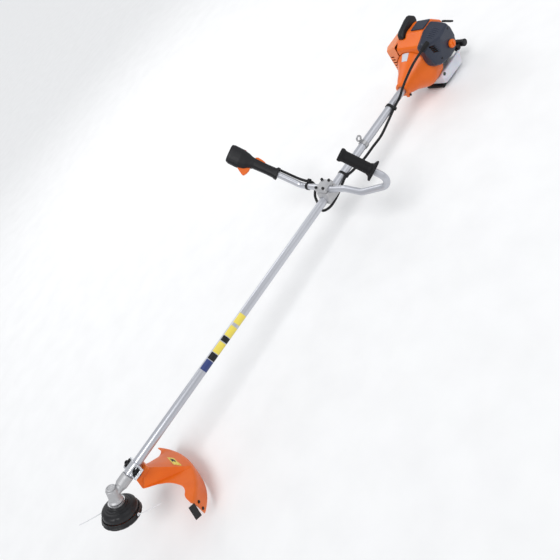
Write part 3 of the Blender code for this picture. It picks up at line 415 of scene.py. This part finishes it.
SLATE = finish("slate plastic", (0.020, 0.026, 0.046), (0.015, 0.020, 0.036), (0.30, 0.44), 1500, 0.16,
               shine=0.35, worn=(0.06, 0.07, 0.10), pattern="cells")
RED = finish("red plastic", (0.62, 0.02, 0.02), (0.50, 0.015, 0.015), (0.28, 0.40), 1500, 0.08)
TANK = finish("milky tank plastic", (0.70, 0.71, 0.78), (0.62, 0.63, 0.70), (0.28, 0.42), 1100, 0.08,
              blotch=14, worn=(0.84, 0.85, 0.90))
TANK.node_tree.nodes["Principled BSDF"].inputs["Subsurface Weight"].default_value = 0.25
TANK.node_tree.nodes["Principled BSDF"].inputs["Subsurface Scale"].default_value = 0.01
LINE = finish("nylon line", (0.80, 0.81, 0.82), (0.72, 0.73, 0.75), (0.22, 0.34), 1500, 0.06)
GREEN = finish("dark green plug", (0.010, 0.035, 0.022), (0.016, 0.05, 0.03), (0.30, 0.45), 1200, 0.1)
YELLOW = finish("yellow label", (0.80, 0.66, 0.10), (0.74, 0.58, 0.08), (0.35, 0.45), 1600, 0.04)
LABEL_BLUE = finish("blue label", (0.02, 0.04, 0.16), (0.03, 0.05, 0.20), (0.30, 0.42), 1600, 0.04)
LABEL_GREY = finish("grey label", (0.55, 0.57, 0.62), (0.48, 0.50, 0.55), (0.30, 0.42), 1600, 0.04)
SLOT_FINISH = {"silver_paint": SILVER, "cast_aluminium": CAST, "steel": STEEL, "bright_steel": CHROME,
               "black_plastic": BLACK, "cable_jacket": CONDUIT, "grip_rubber": RUBBER,
               "black_screws": OXIDE, "orange_plastic": ORANGE, "light_orange_plastic": SALMON,
               "slate_plastic": SLATE, "red_plastic": RED, "tank_plastic": TANK, "nylon_line": LINE}
for entry in frame["record"]["subparts"]:
    mesh = frame["nodes"][entry["node"]].data
    mesh.materials.clear()
    mesh.materials.append(SLOT_FINISH[entry["material_slot"]])

# %% [markdown]
# ## The cutting line
# Two free ends of one nylon line leave the head through metal eyelets on opposite sides.  They are
# stiff enough to stand out straight with a slight droop, so each is a short even curve.

# %% Line ends and eyelets
LINE_LEVEL = -0.0620
LINE_R = 0.0012
EYELET_TURN = radians(-57)


def at_head(out, side, level):
    """Tool-frame place of head coordinates: out along the guard side, level up the spindle."""
    return np.multiply.outer(np.asarray(out, float), ACROSS) \
        + np.multiply.outer(np.asarray(side, float), SIDE) \
        + np.multiply.outer(np.asarray(level, float), SPINDLE)


def line_start(angle):
    return (0.0550 * cos(angle), 0.0550 * sin(angle), LINE_LEVEL)


ROUTES = ([line_start(EYELET_TURN), (0.040, -0.0525, -0.0615), (0.066, -0.0590, -0.0612),
           (0.0925, -0.0635, -0.0612)],
          [line_start(EYELET_TURN + np.pi), (-0.046, 0.0425, -0.0615), (-0.075, 0.0445, -0.0610),
           (-0.1040, 0.0485, -0.0600)])
for number, route in enumerate(ROUTES, 1):
    route = at_head(*np.array(route).T)
    path = even_curve(route, 30)
    strand = dress(swept(f"line_strand_{number}", path, LINE_R, 12), "head", LINE,
                   (f"line_end_{number}",))
    world = on_ground(path)
    heading = unit(at_head(cos(EYELET_TURN + (number - 1) * np.pi),
                           sin(EYELET_TURN + (number - 1) * np.pi), 0.0))
    eyelet = turned(f"line_eyelet_{number}",
                    [(0.0016, -0.0045), (0.0026, -0.0045), (0.0026, 0.0008), (0.0048, 0.0012),
                     (0.0048, 0.0026), (0.0016, 0.0030)],
                    route[0] - heading * 0.0002, heading, UP, 32, 0.0004, loop=True)
    dress(eyelet, "head", CHROME)

# %% [markdown]
# ## The line head
# A stepped dome over a bowl.  Both are turned, and shallow notches round the rims, where fingers
# grip to open the head, come from scaling the radius with the angle.

# %% Line head
def notches(count, depth, sharpness=6.0):
    """Scale 1 - depth max(0, cos(count a))^sharpness: narrow even notches round a rim."""
    return lambda angle, height, radius: 1 - depth * np.maximum(0, np.cos(count * angle)) ** sharpness \
        * np.ones_like(height)


dome = [(0.0048, -0.0268), (0.0262, -0.0268), (0.0276, -0.0280), (0.0283, -0.0328), (0.0330, -0.0338),
        (0.0345, -0.0352), (0.0400, -0.0362), (0.0465, -0.0402), (0.0488, -0.0440), (0.0498, -0.0480),
        (0.0503, -0.0572), (0.0478, -0.0572), (0.0475, -0.0490), (0.0445, -0.0425), (0.0380, -0.0377),
        (0.0262, -0.0357), (0.0048, -0.0302)]
origin = np.zeros(3)


def finger_notches(angle, height, radius):
    """Six narrow notches, cut only in the upright wall of the dome."""
    wall = (height < -0.040) & (height > -0.0560)
    return 1 - 0.035 * np.maximum(0, np.cos(6 * angle)) ** 10 * wall


dress(turned("head_dome", dome, origin, SPINDLE, ACROSS, 144, 0.0012, loop=True, wave=finger_notches),
      "head", HEAD_BLACK, ("head_cover",))
bowl = [(0.0508, -0.0576), (0.0532, -0.0576), (0.0536, -0.0600), (0.0545, -0.0640), (0.0562, -0.0668),
        (0.0568, -0.0690), (0.0560, -0.0712), (0.0530, -0.0752), (0.0470, -0.0805), (0.0400, -0.0848),
        (0.0300, -0.0868), (0.0240, -0.0870), (0.0240, -0.0845), (0.0390, -0.0825), (0.0475, -0.0765),
        (0.0512, -0.0690)]
dress(turned("head_bowl", bowl, origin, SPINDLE, ACROSS, 144, 0.0012, loop=True, wave=notches(12, 0.02, 8)),
      "head", HEAD_BLACK, ("head_base",))
knob = [(0, -0.0975), (0.0110, -0.0972), (0.0190, -0.0945), (0.0222, -0.0890), (0.0225, -0.0800),
        (0.0180, -0.0769), (0, -0.0769)]
dress(turned("bump_button", knob, origin, SPINDLE, ACROSS, 96, 0.002, wave=notches(8, 0.05, 4)),
      "spool", HEAD_BLACK, ("bump_knob",))

# %% [markdown]
# ## Drive tube and gearbox
# The tube is a plain drawn tube with a painted, slightly metallic skin.  The gearbox is a casting,
# so its CAD copy is softened, and a turned cap closes its top.

# %% Tube, gearbox and labels
TUBE_R = 0.0130
TUBE_ENDS = (0.0305, 1.5480)
tube = [(TUBE_R - 0.0016, TUBE_ENDS[0]), (TUBE_R, TUBE_ENDS[0]), (TUBE_R, 0.4), (TUBE_R, 0.8), (TUBE_R, 1.2),
        (TUBE_R, TUBE_ENDS[1]), (TUBE_R - 0.0016, TUBE_ENDS[1])]
dress(turned("painted_tube", tube, origin, ALONG, SIDE, 96, 0.0004, loop=True), "frame", SILVER,
      ("drive_tube",))
dress(softened("gearbox_housing", 0.0008), "frame", CAST, ("gearbox_housing",))
cap = [(0, 0.0205), (0.0095, 0.0205), (0.0095, 0.0238), (0.0135, 0.0238), (0.0138, 0.0262), (0.0128, 0.0280),
       (0.0100, 0.0286), (0.0092, 0.0268), (0.0040, 0.0262), (0, 0.0262)]
dress(turned("gear_cap", cap, origin, SPINDLE, ACROSS, 64), "frame", CAST, ("gearbox_cap",))


def wrapped_label(name, first, last, low, high, coat):
    """A patch on the tube: X runs first..last, and the angle low..high is measured from +Y to +Z."""
    x = np.linspace(first, last, 24)[:, None]
    angle = np.radians(np.linspace(low, high, 24))[None, :]
    r = TUBE_R + 0.00012
    grid = np.stack([x + 0 * angle, r * np.cos(angle) + 0 * x, r * np.sin(angle) + 0 * x], axis=-1)
    return dress(surface(name, grid, closed=False), "frame", coat)


LABELS = (("label_blue", 0.404, 0.438, LABEL_BLUE), ("label_black_1", 0.440, 0.462, OXIDE),
          ("label_yellow_1", 0.464, 0.500, YELLOW), ("label_black_2", 0.503, 0.520, OXIDE),
          ("label_yellow_2", 0.522, 0.556, YELLOW), ("label_yellow_3", 0.566, 0.600, YELLOW))
for name, first, last, coat in LABELS:
    wrapped_label(name, first, last, 95, 215, coat)

# %% [markdown]
# ## The guard
# The guard is one moulded sheet: a top that rises to a fold at the tube and a skirt that flares
# downwards.  A column of points runs from the inner edge to the ridge and down the skirt, and the
# columns follow each other round the cutting circle.

# %% Guard
RIDGE_R, RIDGE_LEVEL = 0.216, -0.030
INNER_EDGE = np.array([(0.182, 0.113, -0.030, 32.0), (0.184, 0.100, -0.029, 29.0),
                       (0.180, 0.084, -0.026, 25.5), (0.166, 0.066, -0.022, 21.0),
                       (0.148, 0.047, -0.007, 15.0), (0.122, 0.026, 0.009, 7.0),
                       (0.099, 0.011, 0.026, -2.0), (0.095, -0.008, 0.032, -11.0),
                       (0.071, -0.020, -0.017, -12.2), (0.088, -0.028, -0.019, -16.0),
                       (0.110, -0.036, -0.022, -20.0), (0.132, -0.049, -0.025, -24.0),
                       (0.148, -0.065, -0.028, -28.0), (0.158, -0.090, -0.028, -33.0),
                       (0.154, -0.112, -0.030, -38.5), (0.141, -0.128, -0.030, -43.5),
                       (0.1425, -0.1610, -0.030, -48.6)])
SKIRT = np.array([(0.0, 0.0, 0.0), (0.0050, 0.003, 0.05), (0.0085, 0.011, 0.2), (0.0130, 0.030, 0.55),
                  (0.0185, 0.060, 1.0)])
LEAN = -4.6 / 48.6


def walled(name, grid, wall, towards, sharp=SHARP):
    """A sheet with a wall: outer grid P and inner grid P - wall N, joined round all four edges.

    N is the cross product of the two grid directions, turned to point away from towards.
    """
    normal = np.cross(np.gradient(grid, axis=0), np.gradient(grid, axis=1))
    normal /= np.linalg.norm(normal, axis=-1, keepdims=True) + 1e-12
    if ((grid - towards) * normal).sum() < 0:
        normal = -normal
    inner = grid - wall * normal
    loop = np.concatenate([grid, inner[::-1]], axis=0)
    middle = (grid + inner) / 2
    ends = np.concatenate([middle, middle[::-1]], axis=0)
    loop = np.concatenate([ends[:, :1], loop, ends[:, -1:]], axis=1)
    return surface(name, loop, wrap_rows=True, sharp=sharp)


def guard_grid():
    """Top rows are inner + t (ridge - inner); skirt rows leave the ridge by (out, drop, lean)."""
    far, near = INNER_EDGE[:8], INNER_EDGE[8:]
    t = np.linspace(0, 1, 50)
    far = np.stack([np.interp(t * 7, np.arange(8), far[:, k]) for k in range(4)], axis=1)
    near = np.stack([np.interp(t * 8, np.arange(9), near[:, k]) for k in range(4)], axis=1)
    for part in (far, near):
        for _ in range(6):
            part[1:-1, :3] = (part[:-2, :3] + 2 * part[1:-1, :3] + part[2:, :3]) / 4
    column = np.vstack([far, near])
    bearing = np.radians(column[:, 3])
    ridge = np.stack([RIDGE_R * np.cos(bearing), RIDGE_R * np.sin(bearing),
                      np.full(len(bearing), RIDGE_LEVEL)], axis=1)
    top = np.linspace(0, 1, 20)[:, None, None]
    sheet = column[None, :, :3] * (1 - top) + ridge[None] * top
    out, drop, lean = even_curve(SKIRT, 16)[1:].T[:, :, None]
    way = bearing[None] * (1 + LEAN * lean)
    skirt = np.stack([(RIDGE_R + out) * np.cos(way), (RIDGE_R + out) * np.sin(way),
                      RIDGE_LEVEL - drop + 0 * way], axis=-1)
    local = np.concatenate([sheet, skirt], axis=0)
    return local, at_head(local[..., 0], local[..., 1], local[..., 2])


guard_local, guard_sheet = guard_grid()
dress(walled("guard_shell", guard_sheet, 0.0030, at_head(0.10, 0.0, -0.12), radians(40)), "frame",
      GUARD_ORANGE, ("guard",))
dress(lump("guard_pad", (0.0860, 0.0, -0.0257), np.eye(3), (0.046, 0.040, 0.017), 8), "frame", GUARD_ORANGE)
print("guard", guard_sheet.shape[:2], "points")


def patch(name, corners, rows, coat, lift=0.0005):
    """A label laid on the guard: levels are read from the nearest points of the sheet."""
    u, v = np.linspace(0, 1, rows)[:, None, None], np.linspace(0, 1, rows)[None, :, None]
    a, b, c, d = np.array(corners, float)
    flat = (1 - u) * ((1 - v) * a + v * b) + u * ((1 - v) * d + v * c)
    known = guard_local[:20].reshape(-1, 3)
    gap = np.linalg.norm(flat[..., None, :] - known[None, None, :, :2], axis=-1)
    weight = 1 / (gap + 1e-4) ** 4
    level = (weight * known[:, 2]).sum(axis=-1) / weight.sum(axis=-1) + lift
    return dress(surface(name, at_head(flat[..., 0], flat[..., 1], level), closed=False), "frame", coat)


patch("guard_label", ((0.177, 0.032), (0.190, 0.018), (0.191, -0.032), (0.173, -0.018)), 14, YELLOW)
patch("guard_label_mark", ((0.1795, 0.020), (0.1865, 0.010), (0.1870, -0.006), (0.1780, 0.000)), 10, OXIDE,
      0.0008)

# %% [markdown]
# ## Screws
# A socket screw is turned too: a rounded head with a six-sided recess, cut by scaling the recess
# radius with the angle.

# %% Screws
def screw(name, place, axis, head, height, coat, body="frame", stands_for=(), shank=0.0):
    """Head with a hexagonal recess; the hexagon scale is cos 30 / cos(angle mod 60 - 30)."""
    outline = [(0, height * 0.35), (head * 0.50, height * 0.35), (head * 0.50, height * 0.98),
               (head * 0.62, height), (head * 0.88, height * 0.97), (head, height * 0.78), (head, 0)]
    outline += [(head * 0.5, 0), (head * 0.5, -shank), (0, -shank)] if shank else [(0, 0)]

    def hexagon(angle, h, r):
        six = cos(radians(30)) / np.cos(np.mod(angle, np.pi / 3) - np.pi / 6)
        return np.where((h > 0) & (r < head * 0.55), six, 1.0)

    return dress(turned(name, outline, place, axis, SIDE if abs(unit(axis) @ SIDE) < 0.9 else UP, 36,
                        0.0003, wave=hexagon), body, coat, stands_for)


CLAMP = np.array([1.0615, -0.012, 0.031])
for number, (dx, dy) in enumerate(((-1, -1), (-1, 1), (1, -1), (1, 1)), 1):
    screw(f"clamp_screw_{number}", CLAMP + (dx * 0.0165, dy * 0.016, 0.0166), UP, 0.0046, 0.0055, OXIDE,
          stands_for=(f"clamp_bolt_{number}",), shank=0.029)
for number, side in enumerate((-1, 1), 1):
    screw(f"guard_screw_{number}", (0.0833, side * 0.0275, 0.0036), UP, 0.0066, 0.0085, OXIDE,
          stands_for=(f"guard_bolt_{number}",), shank=0.0165)
for number, drop in enumerate((0.020, 0.044), 1):
    way = radians(-43.5)
    out = RIDGE_R + np.interp(drop, SKIRT[:, 1], SKIRT[:, 0])
    screw(f"knife_screw_{number}", at_head(out * cos(way), out * sin(way), RIDGE_LEVEL - drop),
          at_head(cos(way), sin(way), 0.15), 0.0045, 0.0030, OXIDE)

# %% [markdown]
# ## Handlebar and grips
# The bar is a bent tube: straight runs joined by true arcs.  The left grip is turned with fine
# ribs, and the throttle housing is a softened copy of its two CAD shells.

# %% Handlebar
BAR_R = 0.010
GRIP_AXIS = unit((-0.17, 0.65, 0.74))
GRIP_BASE = np.array([1.060, 0.103, 0.031]) + GRIP_AXIS * 0.064
LEFT_CORNER = np.array([1.100, -0.282, 0.041])
LEFT_AXIS = unit((-0.134, 0.654, 0.745))


def bent(corners, radii, points=14):
    """Straight runs with each inner corner P replaced by an arc about the centre between its sides."""
    corners = np.array(corners, float)
    out = [corners[:1]]
    for before, corner, after, radius in zip(corners, corners[1:], corners[2:], radii):
        u, v = unit(before - corner), unit(after - corner)
        half = np.arccos(np.clip(u @ v, -1, 1)) / 2
        centre = corner + unit(u + v) * radius / sin(half)
        first = corner + u * radius / tan(half) - centre
        last = corner + v * radius / tan(half) - centre
        spread = np.arccos(np.clip(first @ last / radius ** 2, -1, 1))
        t = np.linspace(0, 1, points)[:, None]
        out.append(centre + (np.sin((1 - t) * spread) * first + np.sin(t * spread) * last) / sin(spread))
    return np.vstack(out + [corners[-1:]])


bar = bent([GRIP_BASE + GRIP_AXIS * 0.092, (1.060, 0.103, 0.031), (1.060, -0.045, 0.031),
            (1.062, -0.105, 0.040), (1.062, -0.170, 0.033), LEFT_CORNER, LEFT_CORNER + LEFT_AXIS * 0.160],
           (0.030, 0.040, 0.040, 0.045, 0.024))
dress(swept("bent_bar", bar, BAR_R, 40), "frame", SILVER, ("handlebar",))
ribs = [(0.0155 + 0.0005 * (k % 2), 0.0215 + 0.0016 * k) for k in range(40)]
grip = [(0.0103, 0), (0.0280, 0), (0.0300, 0.003), (0.0280, 0.0065), (0.0190, 0.011), (0.0158, 0.019)] \
    + ribs + [(0.0155, 0.0870), (0.0165, 0.0940), (0.0190, 0.0980), (0.0190, 0.1030), (0.0170, 0.1065),
              (0, 0.1065), (0, 0.1030), (0.0103, 0.1030)]
dress(turned("rubber_left_grip", grip, LEFT_CORNER + LEFT_AXIS * 0.070, LEFT_AXIS, ALONG, 96, 0.0008,
             loop=True),
      "frame", RUBBER, ("left_grip",))
for node, cell, body, coat in (("throttle_grip_front", 0.0008, "frame", BLACK),
                               ("throttle_grip_rear", 0.0008, "frame", BLACK),
                               ("throttle_trigger", 0.0005, "throttle_trigger", ORANGE),
                               ("lockout_lever", 0.0004, "lockout_lever", ORANGE),
                               ("stop_switch", 0.0004, "stop_switch", RED),
                               ("bar_clamp_base", 0.0007, "frame", CAST),
                               ("bar_clamp_cap", 0.0006, "frame", CAST),
                               ("harness_hanger", 0.0004, "frame", STEEL),
                               ("guard_strap", 0.0006, "frame", CHROME),
                               ("guard_plate", 0.0006, "frame", CHROME),
                               ("line_knife", 0.0005, "frame", OXIDE),
                               ("cable_band", 0.0005, "frame", CONDUIT),
                               ("cable_clip", 0.0005, "frame", CONDUIT)):
    dress(softened(node, cell, 4), body, coat, (node,))

# %% [markdown]
# ## Throttle cable
# The inner wire and the stop leads share one corrugated conduit.  Its radius rises and falls along
# its length, which gives the ridges as real shape.

# %% Conduit and strap
ROUTE = [(1.0609, 0.1549, 0.0958), (1.0640, 0.1431, 0.0824), (1.0666, 0.1333, 0.0713),
         (1.0690, 0.1200, 0.0590), (1.0705, 0.1040, 0.0490), (1.0715, 0.0850, 0.0425),
         (1.0722, 0.0680, 0.0400), (1.0754, 0.0600, 0.0310), (1.0710, 0.0560, 0.0155),
         (1.0565, 0.0520, 0.0080), (1.0445, 0.0473, 0.0000), (1.0310, 0.0345, -0.0155),
         (1.0210, 0.0215, -0.0270), (1.0195, 0.0060, -0.0290), (1.0372, -0.0083, -0.0285),
         (1.0651, -0.0090, -0.0275), (1.0927, -0.0070, -0.0240), (1.1160, -0.0165, -0.0080),
         (1.1327, -0.0182, -0.0020), (1.1470, -0.0180, -0.0040), (1.1650, -0.0160, -0.0110),
         (1.1955, -0.0140, -0.0177), (1.2333, -0.0168, -0.0218), (1.2803, -0.0172, -0.0224),
         (1.3300, -0.0180, -0.0230), (1.3843, -0.0150, -0.0150), (1.4292, -0.0181, -0.0010),
         (1.4620, -0.0270, 0.0124), (1.4760, -0.0350, 0.0270), (1.4908, -0.0450, 0.0430),
         (1.5086, -0.0540, 0.0567), (1.5249, -0.0630, 0.0689), (1.5422, -0.0730, 0.0800),
         (1.5601, -0.0830, 0.0890), (1.5760, -0.0920, 0.0955)]
line = even_curve(ROUTE, 1700)
run = np.r_[0, np.cumsum(np.linalg.norm(np.diff(line, axis=0), axis=1))]
print("conduit", round(run[-1], 3), "m")
ridge = 0.5 + 0.5 * np.tanh(3 * np.cos(2 * np.pi * run / 0.0032))
dress(swept("throttle_conduit", line, 0.0040 + 0.0005 * ridge, 16), "frame", CONDUIT, ("control_cable",))


def strap(name, x, width, wall, rounds, coat):
    """A belt about several circles (y, z, r): at angle a it lies on the circle that reaches furthest."""
    angle = np.linspace(0, 2 * np.pi, 120, endpoint=False)
    way = np.stack([np.cos(angle), np.sin(angle)], axis=1)
    centres = np.array([c[:2] for c in rounds])
    reach = way @ centres.T + np.array([c[2] for c in rounds])
    pick = reach.argmax(axis=1)
    core = centres[pick] + way * np.array([c[2] for c in rounds])[pick, None]
    corner = eased([(0, -width / 2), (wall, -width / 2), (wall, width / 2), (0, width / 2)], wall * 0.4,
                   4, True)
    flat = core[None] + corner[:, None, :1] * way[None]
    grid = np.concatenate([x + corner[:, None, 1:] + 0 * flat[..., :1], flat], axis=-1)
    return dress(surface(name, grid, wrap_rows=True, wrap_cols=True), "frame", coat)


strap("cable_strap", 1.1430, 0.0085, 0.0012, ((0, 0, 0.0131), (-0.0182, -0.0034, 0.0047)), CONDUIT)

# %% [markdown]
# ## Engine covers
# The clutch housing, the starter and the caps are turned.  The air filter box, cowl, exhaust cover
# and tank are softened copies, so every moulded edge catches the light.

# %% Engine covers
FAN_R = 0.0730
bell = [(0.0133, 1.5070), (0.0235, 1.5070), (0.0250, 1.5110), (0.0250, 1.5180), (0.0340, 1.5350),
        (0.0450, 1.5600), (0.0620, 1.5850), (0.0700, 1.5970), (FAN_R, 1.6050), (FAN_R, 1.6450),
        (0.0700, 1.6450), (0.0700, 1.6065), (0.0665, 1.5990), (0.0585, 1.5875), (0.0415, 1.5625),
        (0.0300, 1.5535), (0.0200, 1.5500), (0.0133, 1.5490)]
dress(turned("clutch_bell", bell, origin, ALONG, SIDE, 120, 0.004, loop=True), "frame", ORANGE,
      ("clutch_housing",))
dress(lump("clamp_ear", (1.5180, -0.006, -0.0270), np.eye(3), (0.016, 0.012, 0.012), 6), "frame", ORANGE)
screw("collar_screw", (1.5180, -0.0122, -0.0285), -SIDE, 0.0038, 0.0035, OXIDE)
drum = [(0, 1.7580), (0.0200, 1.7580), (0.0215, 1.7565), (0.0235, 1.7580), (0.0480, 1.7580), (0.0620, 1.7500),
        (0.0660, 1.7400), (0.0660, 1.7150), (0.0630, 1.7150), (0.0630, 1.7390), (0.0600, 1.7475),
        (0.0470, 1.7550), (0, 1.7550)]
dress(turned("starter_drum", drum, origin, ALONG, SIDE, 120, 0.003), "frame", BLACK, ("starter_housing",))
rope_eye = np.array([0, -0.0480, -0.0490])
eye_ring = [(0.0030, 1.7475), (0.0095, 1.7475), (0.0095, 1.7600), (0.0080, 1.7612), (0.0042, 1.7612),
            (0.0030, 1.7595)]
dress(turned("rope_eye", eye_ring, rope_eye, ALONG, SIDE, 48, 0.0008, loop=True), "frame", BLACK)
for node, cell, coat in (("engine_cowl", 0.0014, ORANGE), ("top_strip", 0.0007, SLATE),
                         ("top_cap", 0.0010, BLACK), ("muffler_cover", 0.0012, SALMON),
                         ("air_filter_cover", 0.0012, SLATE), ("fuel_tank", 0.0013, TANK),
                         ("engine_foot", 0.0010, BLACK)):
    dress(softened(node, cell, 5), "frame", coat, (node,))
dress(softened("choke_lever", 0.0005, 4), "choke_lever", BLACK, ("choke_lever",))

# %% Knobs, caps and starter
KNOB = np.array([1.6790, -0.1030, 0.0270])
dress(turned("air_knob", [(0, 0), (0.0130, 0), (0.0138, 0.0030), (0.0130, 0.0080), (0.0110, 0.0100),
                          (0, 0.0100)],
             KNOB, -SIDE, ALONG, 96, 0.001, wave=notches(16, 0.03, 2)), "filter_knob", ORANGE,
             ("filter_knob",))
dress(lump("air_knob_bar", KNOB + (0, -0.0098, 0), np.eye(3), (0.0052, 0.0068, 0.0205), 5), "filter_knob",
      ORANGE)
FILLER, FILLER_AXIS = np.array([1.7400, 0.0400, -0.0800]), unit((0.987, 0, -0.162))


def cap_flutes(angle, height, radius):
    """Fourteen square flutes round the cap's grip, between its two rims."""
    return 1 - 0.05 * (np.cos(14 * angle) > 0.2) * (height > 0.0025) * (height < 0.0112)


dress(turned("tank_cap", [(0, -0.0120), (0.0100, -0.0120), (0.0100, 0.0016), (0.0170, 0.0016),
                          (0.0170, 0.0110), (0.0150, 0.0130), (0.0120, 0.0130), (0.0110, 0.0118),
                          (0, 0.0118)], FILLER,
             FILLER_AXIS, SIDE, 120, 0.0012, wave=cap_flutes), "fuel_cap", BLACK, ("fuel_cap",))
PULL = np.array([1.7790, -0.0480, -0.0490])
dress(turned("pull_grip", [(0, -0.018), (0.0100, -0.018), (0.0125, -0.015), (0.0115, -0.007), (0.0115, 0.007),
                           (0.0125, 0.015), (0.0100, 0.018), (0, 0.018)], PULL, SIDE, UP, 64, 0.0025),
      "starter_handle", BLACK, ("starter_handle",))
dress(turned("pull_stem", [(0, -0.0170), (0.0046, -0.0170), (0.0055, -0.0145), (0.0055, 0), (0, 0)],
             PULL, ALONG,
             SIDE, 40, 0.0008), "starter_handle", BLACK)
rope_from, rope_to = np.array([1.7520, -0.0480, -0.0490]), np.array([1.7700, -0.0480, -0.0490])
rope = swept("starter_rope", rope_from + np.linspace(0, 1, 16)[:, None] * (rope_to - rope_from), 0.0016, 12)
rope.data.materials.append(CONDUIT)
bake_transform(rope)
dress(turned("tank_plug", [(0, -0.001), (0.0058, -0.001), (0.0058, 0.0012), (0.0046, 0.0020), (0, 0.0020)],
             (1.6350, -0.0668, -0.0520), -SIDE, UP, 40, 0.0006), "frame", GREEN)

# %% [markdown]
# ## Details of the engine and the guard mount
# Small mouldings tell the eye how big the tool is: cooling ribs on the filter box, dark strips of
# painted shade where its slots are, the boot where the cable enters, rubber pads under the strap,
# screws and a plain label.  Blocky ones are the hull of a few corner points, remeshed and softened
# like the covers.

# %% Moulded blocks
def moulded(name, corners, cell, rounds, coat, body="frame"):
    """The convex hull of the corner points, rebuilt from even cells and smoothed."""
    item = bpy.data.objects.new(name, bpy.data.meshes.new(name))
    bpy.context.scene.collection.objects.link(item)
    work = bmesh.new()
    for point in on_ground(corners):
        work.verts.new(point)
    hull = bmesh.ops.convex_hull(work, input=work.verts)
    bmesh.ops.delete(work, geom=[g for g in hull["geom_interior"] if isinstance(g, bmesh.types.BMVert)])
    bmesh.ops.recalc_face_normals(work, faces=work.faces)
    work.to_mesh(item.data)
    work.free()
    soften(item, cell, rounds)
    return dress(item, body, coat)


cable_end, cable_way = np.array(ROUTE[-1]), unit(np.subtract(ROUTE[-1], ROUTE[-2]))
boot = [(0.0046, -0.006), (0.0062, -0.006), (0.0066, 0.004), (0.0078, 0.006), (0.0078, 0.022),
        (0.0060, 0.0255), (0, 0.0255), (0, 0.010), (0.0046, 0.004)]
dress(turned("cable_boot", boot, cable_end, cable_way, UP, 48, 0.001, loop=True), "frame", RUBBER)
filter_box = bpy.data.objects["air_filter_cover_moulded"]


def laid_on(item, first, last, outward, sink, count=12):
    """Points from first to last, each moved back along outward until it meets the item's skin."""
    outward = unit(outward)
    way = Vector(TURN @ -outward)
    points = np.linspace(first, last, count)
    found = [item.ray_cast(Vector(on_ground(p + 0.05 * outward)), way) for p in points]
    keep = [(np.array(place) - SHIFT) @ TURN for hit, place, _, _ in found if hit]
    return np.array(keep) - sink * outward


climb = unit((-0.30, 0.60, 0.55))
for k in range(6):
    middle = np.array([1.6240 + 0.0085 * k, -0.0890, 0.0990])
    rib = laid_on(filter_box, middle - 0.011 * climb, middle + 0.011 * climb, (0, -0.67, 0.74), 0.0004)
    dress(swept(f"cooling_rib_{k}", rib, 0.0017, 12), "frame", SLATE)
slope = unit((cos(radians(31)), 0, -sin(radians(31))))
# The slots are not cut: each is a thin raised strip in the black grip-rubber finish, painted shade where the
# dark inside of a slot would be.
for k in range(5):
    middle = np.array([1.6080 + 0.0018 * k, -0.1000, 0.0800 - 0.0073 * k])
    slot_shade_path = laid_on(filter_box, middle - 0.013 * slope, middle + 0.013 * slope, -SIDE, 0.0008)
    dress(swept(f"painted_slot_shade_{k}", slot_shade_path, 0.0013, 12), "frame", RUBBER)
for number, (x, z) in enumerate(((1.6220, 0.0200), (1.6950, 0.0720), (1.7050, 0.0150)), 1):
    screw(f"cover_screw_{number}", (x, -0.1000, z), -SIDE, 0.0036, 0.0022, OXIDE)
for number, side in enumerate((-1, 1), 1):
    moulded(f"mount_pad_{number}",
            [(x, side * 0.0275 + y, z) for x in (0.0715, 0.0950) for y in (-0.0078, 0.0078)
             for z in (0.0030, 0.0052)], 0.0005, 3, RUBBER)
inner_fold, inner_edge = at_head(0.071, -0.020, -0.017), at_head(0.095, -0.008, 0.032)
u, v = np.linspace(0, 1, 14)[:, None, None], np.linspace(0, 1, 14)[None, :, None]
pad_front, pad_rear = np.array([0.0640, -0.0185, -0.0200]), np.array([0.1050, -0.0185, -0.0200])
web = (1 - u) * ((1 - v) * pad_front + v * inner_fold) + u * ((1 - v) * pad_rear + v * inner_edge)
dress(walled("guard_web", web, 0.0030, np.array([0.09, 0.03, -0.10])), "frame", GUARD_ORANGE)

# %% Label on the bell
first, last = 1.5780, 1.6000
x = np.linspace(first, last, 16)[:, None]
angle = np.radians(np.linspace(72, 96, 20))[None, :]
r = np.interp(x, [p[1] for p in bell[:9]], [p[0] for p in bell[:9]]) + 0.0006
dress(surface("bell_label", np.stack([x + 0 * angle, r * np.cos(angle), r * np.sin(angle)], axis=-1),
              closed=False), "frame", LABEL_GREY)

# %% [markdown]
# ## Studio
# A pale floor lies under one soft sun and two area lights.

# %% Studio
floor_mesh = bpy.data.meshes.new("floor")
floor_mesh.from_pydata([(-30, -30, 0), (30, -30, 0), (30, 30, 0), (-30, 30, 0)], [], [(0, 1, 2, 3)])
floor = bpy.data.objects.new("floor", floor_mesh)
bpy.context.scene.collection.objects.link(floor)
floor.data.materials.append(finish("studio floor", (0.86, 0.86, 0.86), (0.83, 0.83, 0.83), (0.75, 0.85),
                                   60, 0.01))
for name, place, kind, power, side in (("key", (-1.2, -1.2, 2.8), "SUN", 1.5, radians(30)),
                                       ("fill", (2.2, -1.6, 2.2), "AREA", 14, 2.2),
                                       ("rim", (0.6, 2.4, 2.4), "AREA", 20, 2.0)):
    light = bpy.data.lights.new(name, kind)
    light.energy = power
    if kind == "SUN":
        light.angle = side
    else:
        light.size = side
    lamp = bpy.data.objects.new(name, light)
    aim = Vector((0.0, 0.0, 0.1)) - Vector(place)
    lamp.matrix_world = Matrix.Translation(place) @ aim.to_track_quat("-Z", "Y").to_matrix().to_4x4()
    bpy.context.scene.collection.objects.link(lamp)
world = bpy.data.worlds.new("studio")
world.use_nodes = True
world.node_tree.nodes["Background"].inputs["Color"].default_value = (0.95, 0.97, 1.0, 1)
world.node_tree.nodes["Background"].inputs["Strength"].default_value = 0.60
bpy.context.scene.world = world
bpy.context.scene.view_settings.view_transform = "Standard"
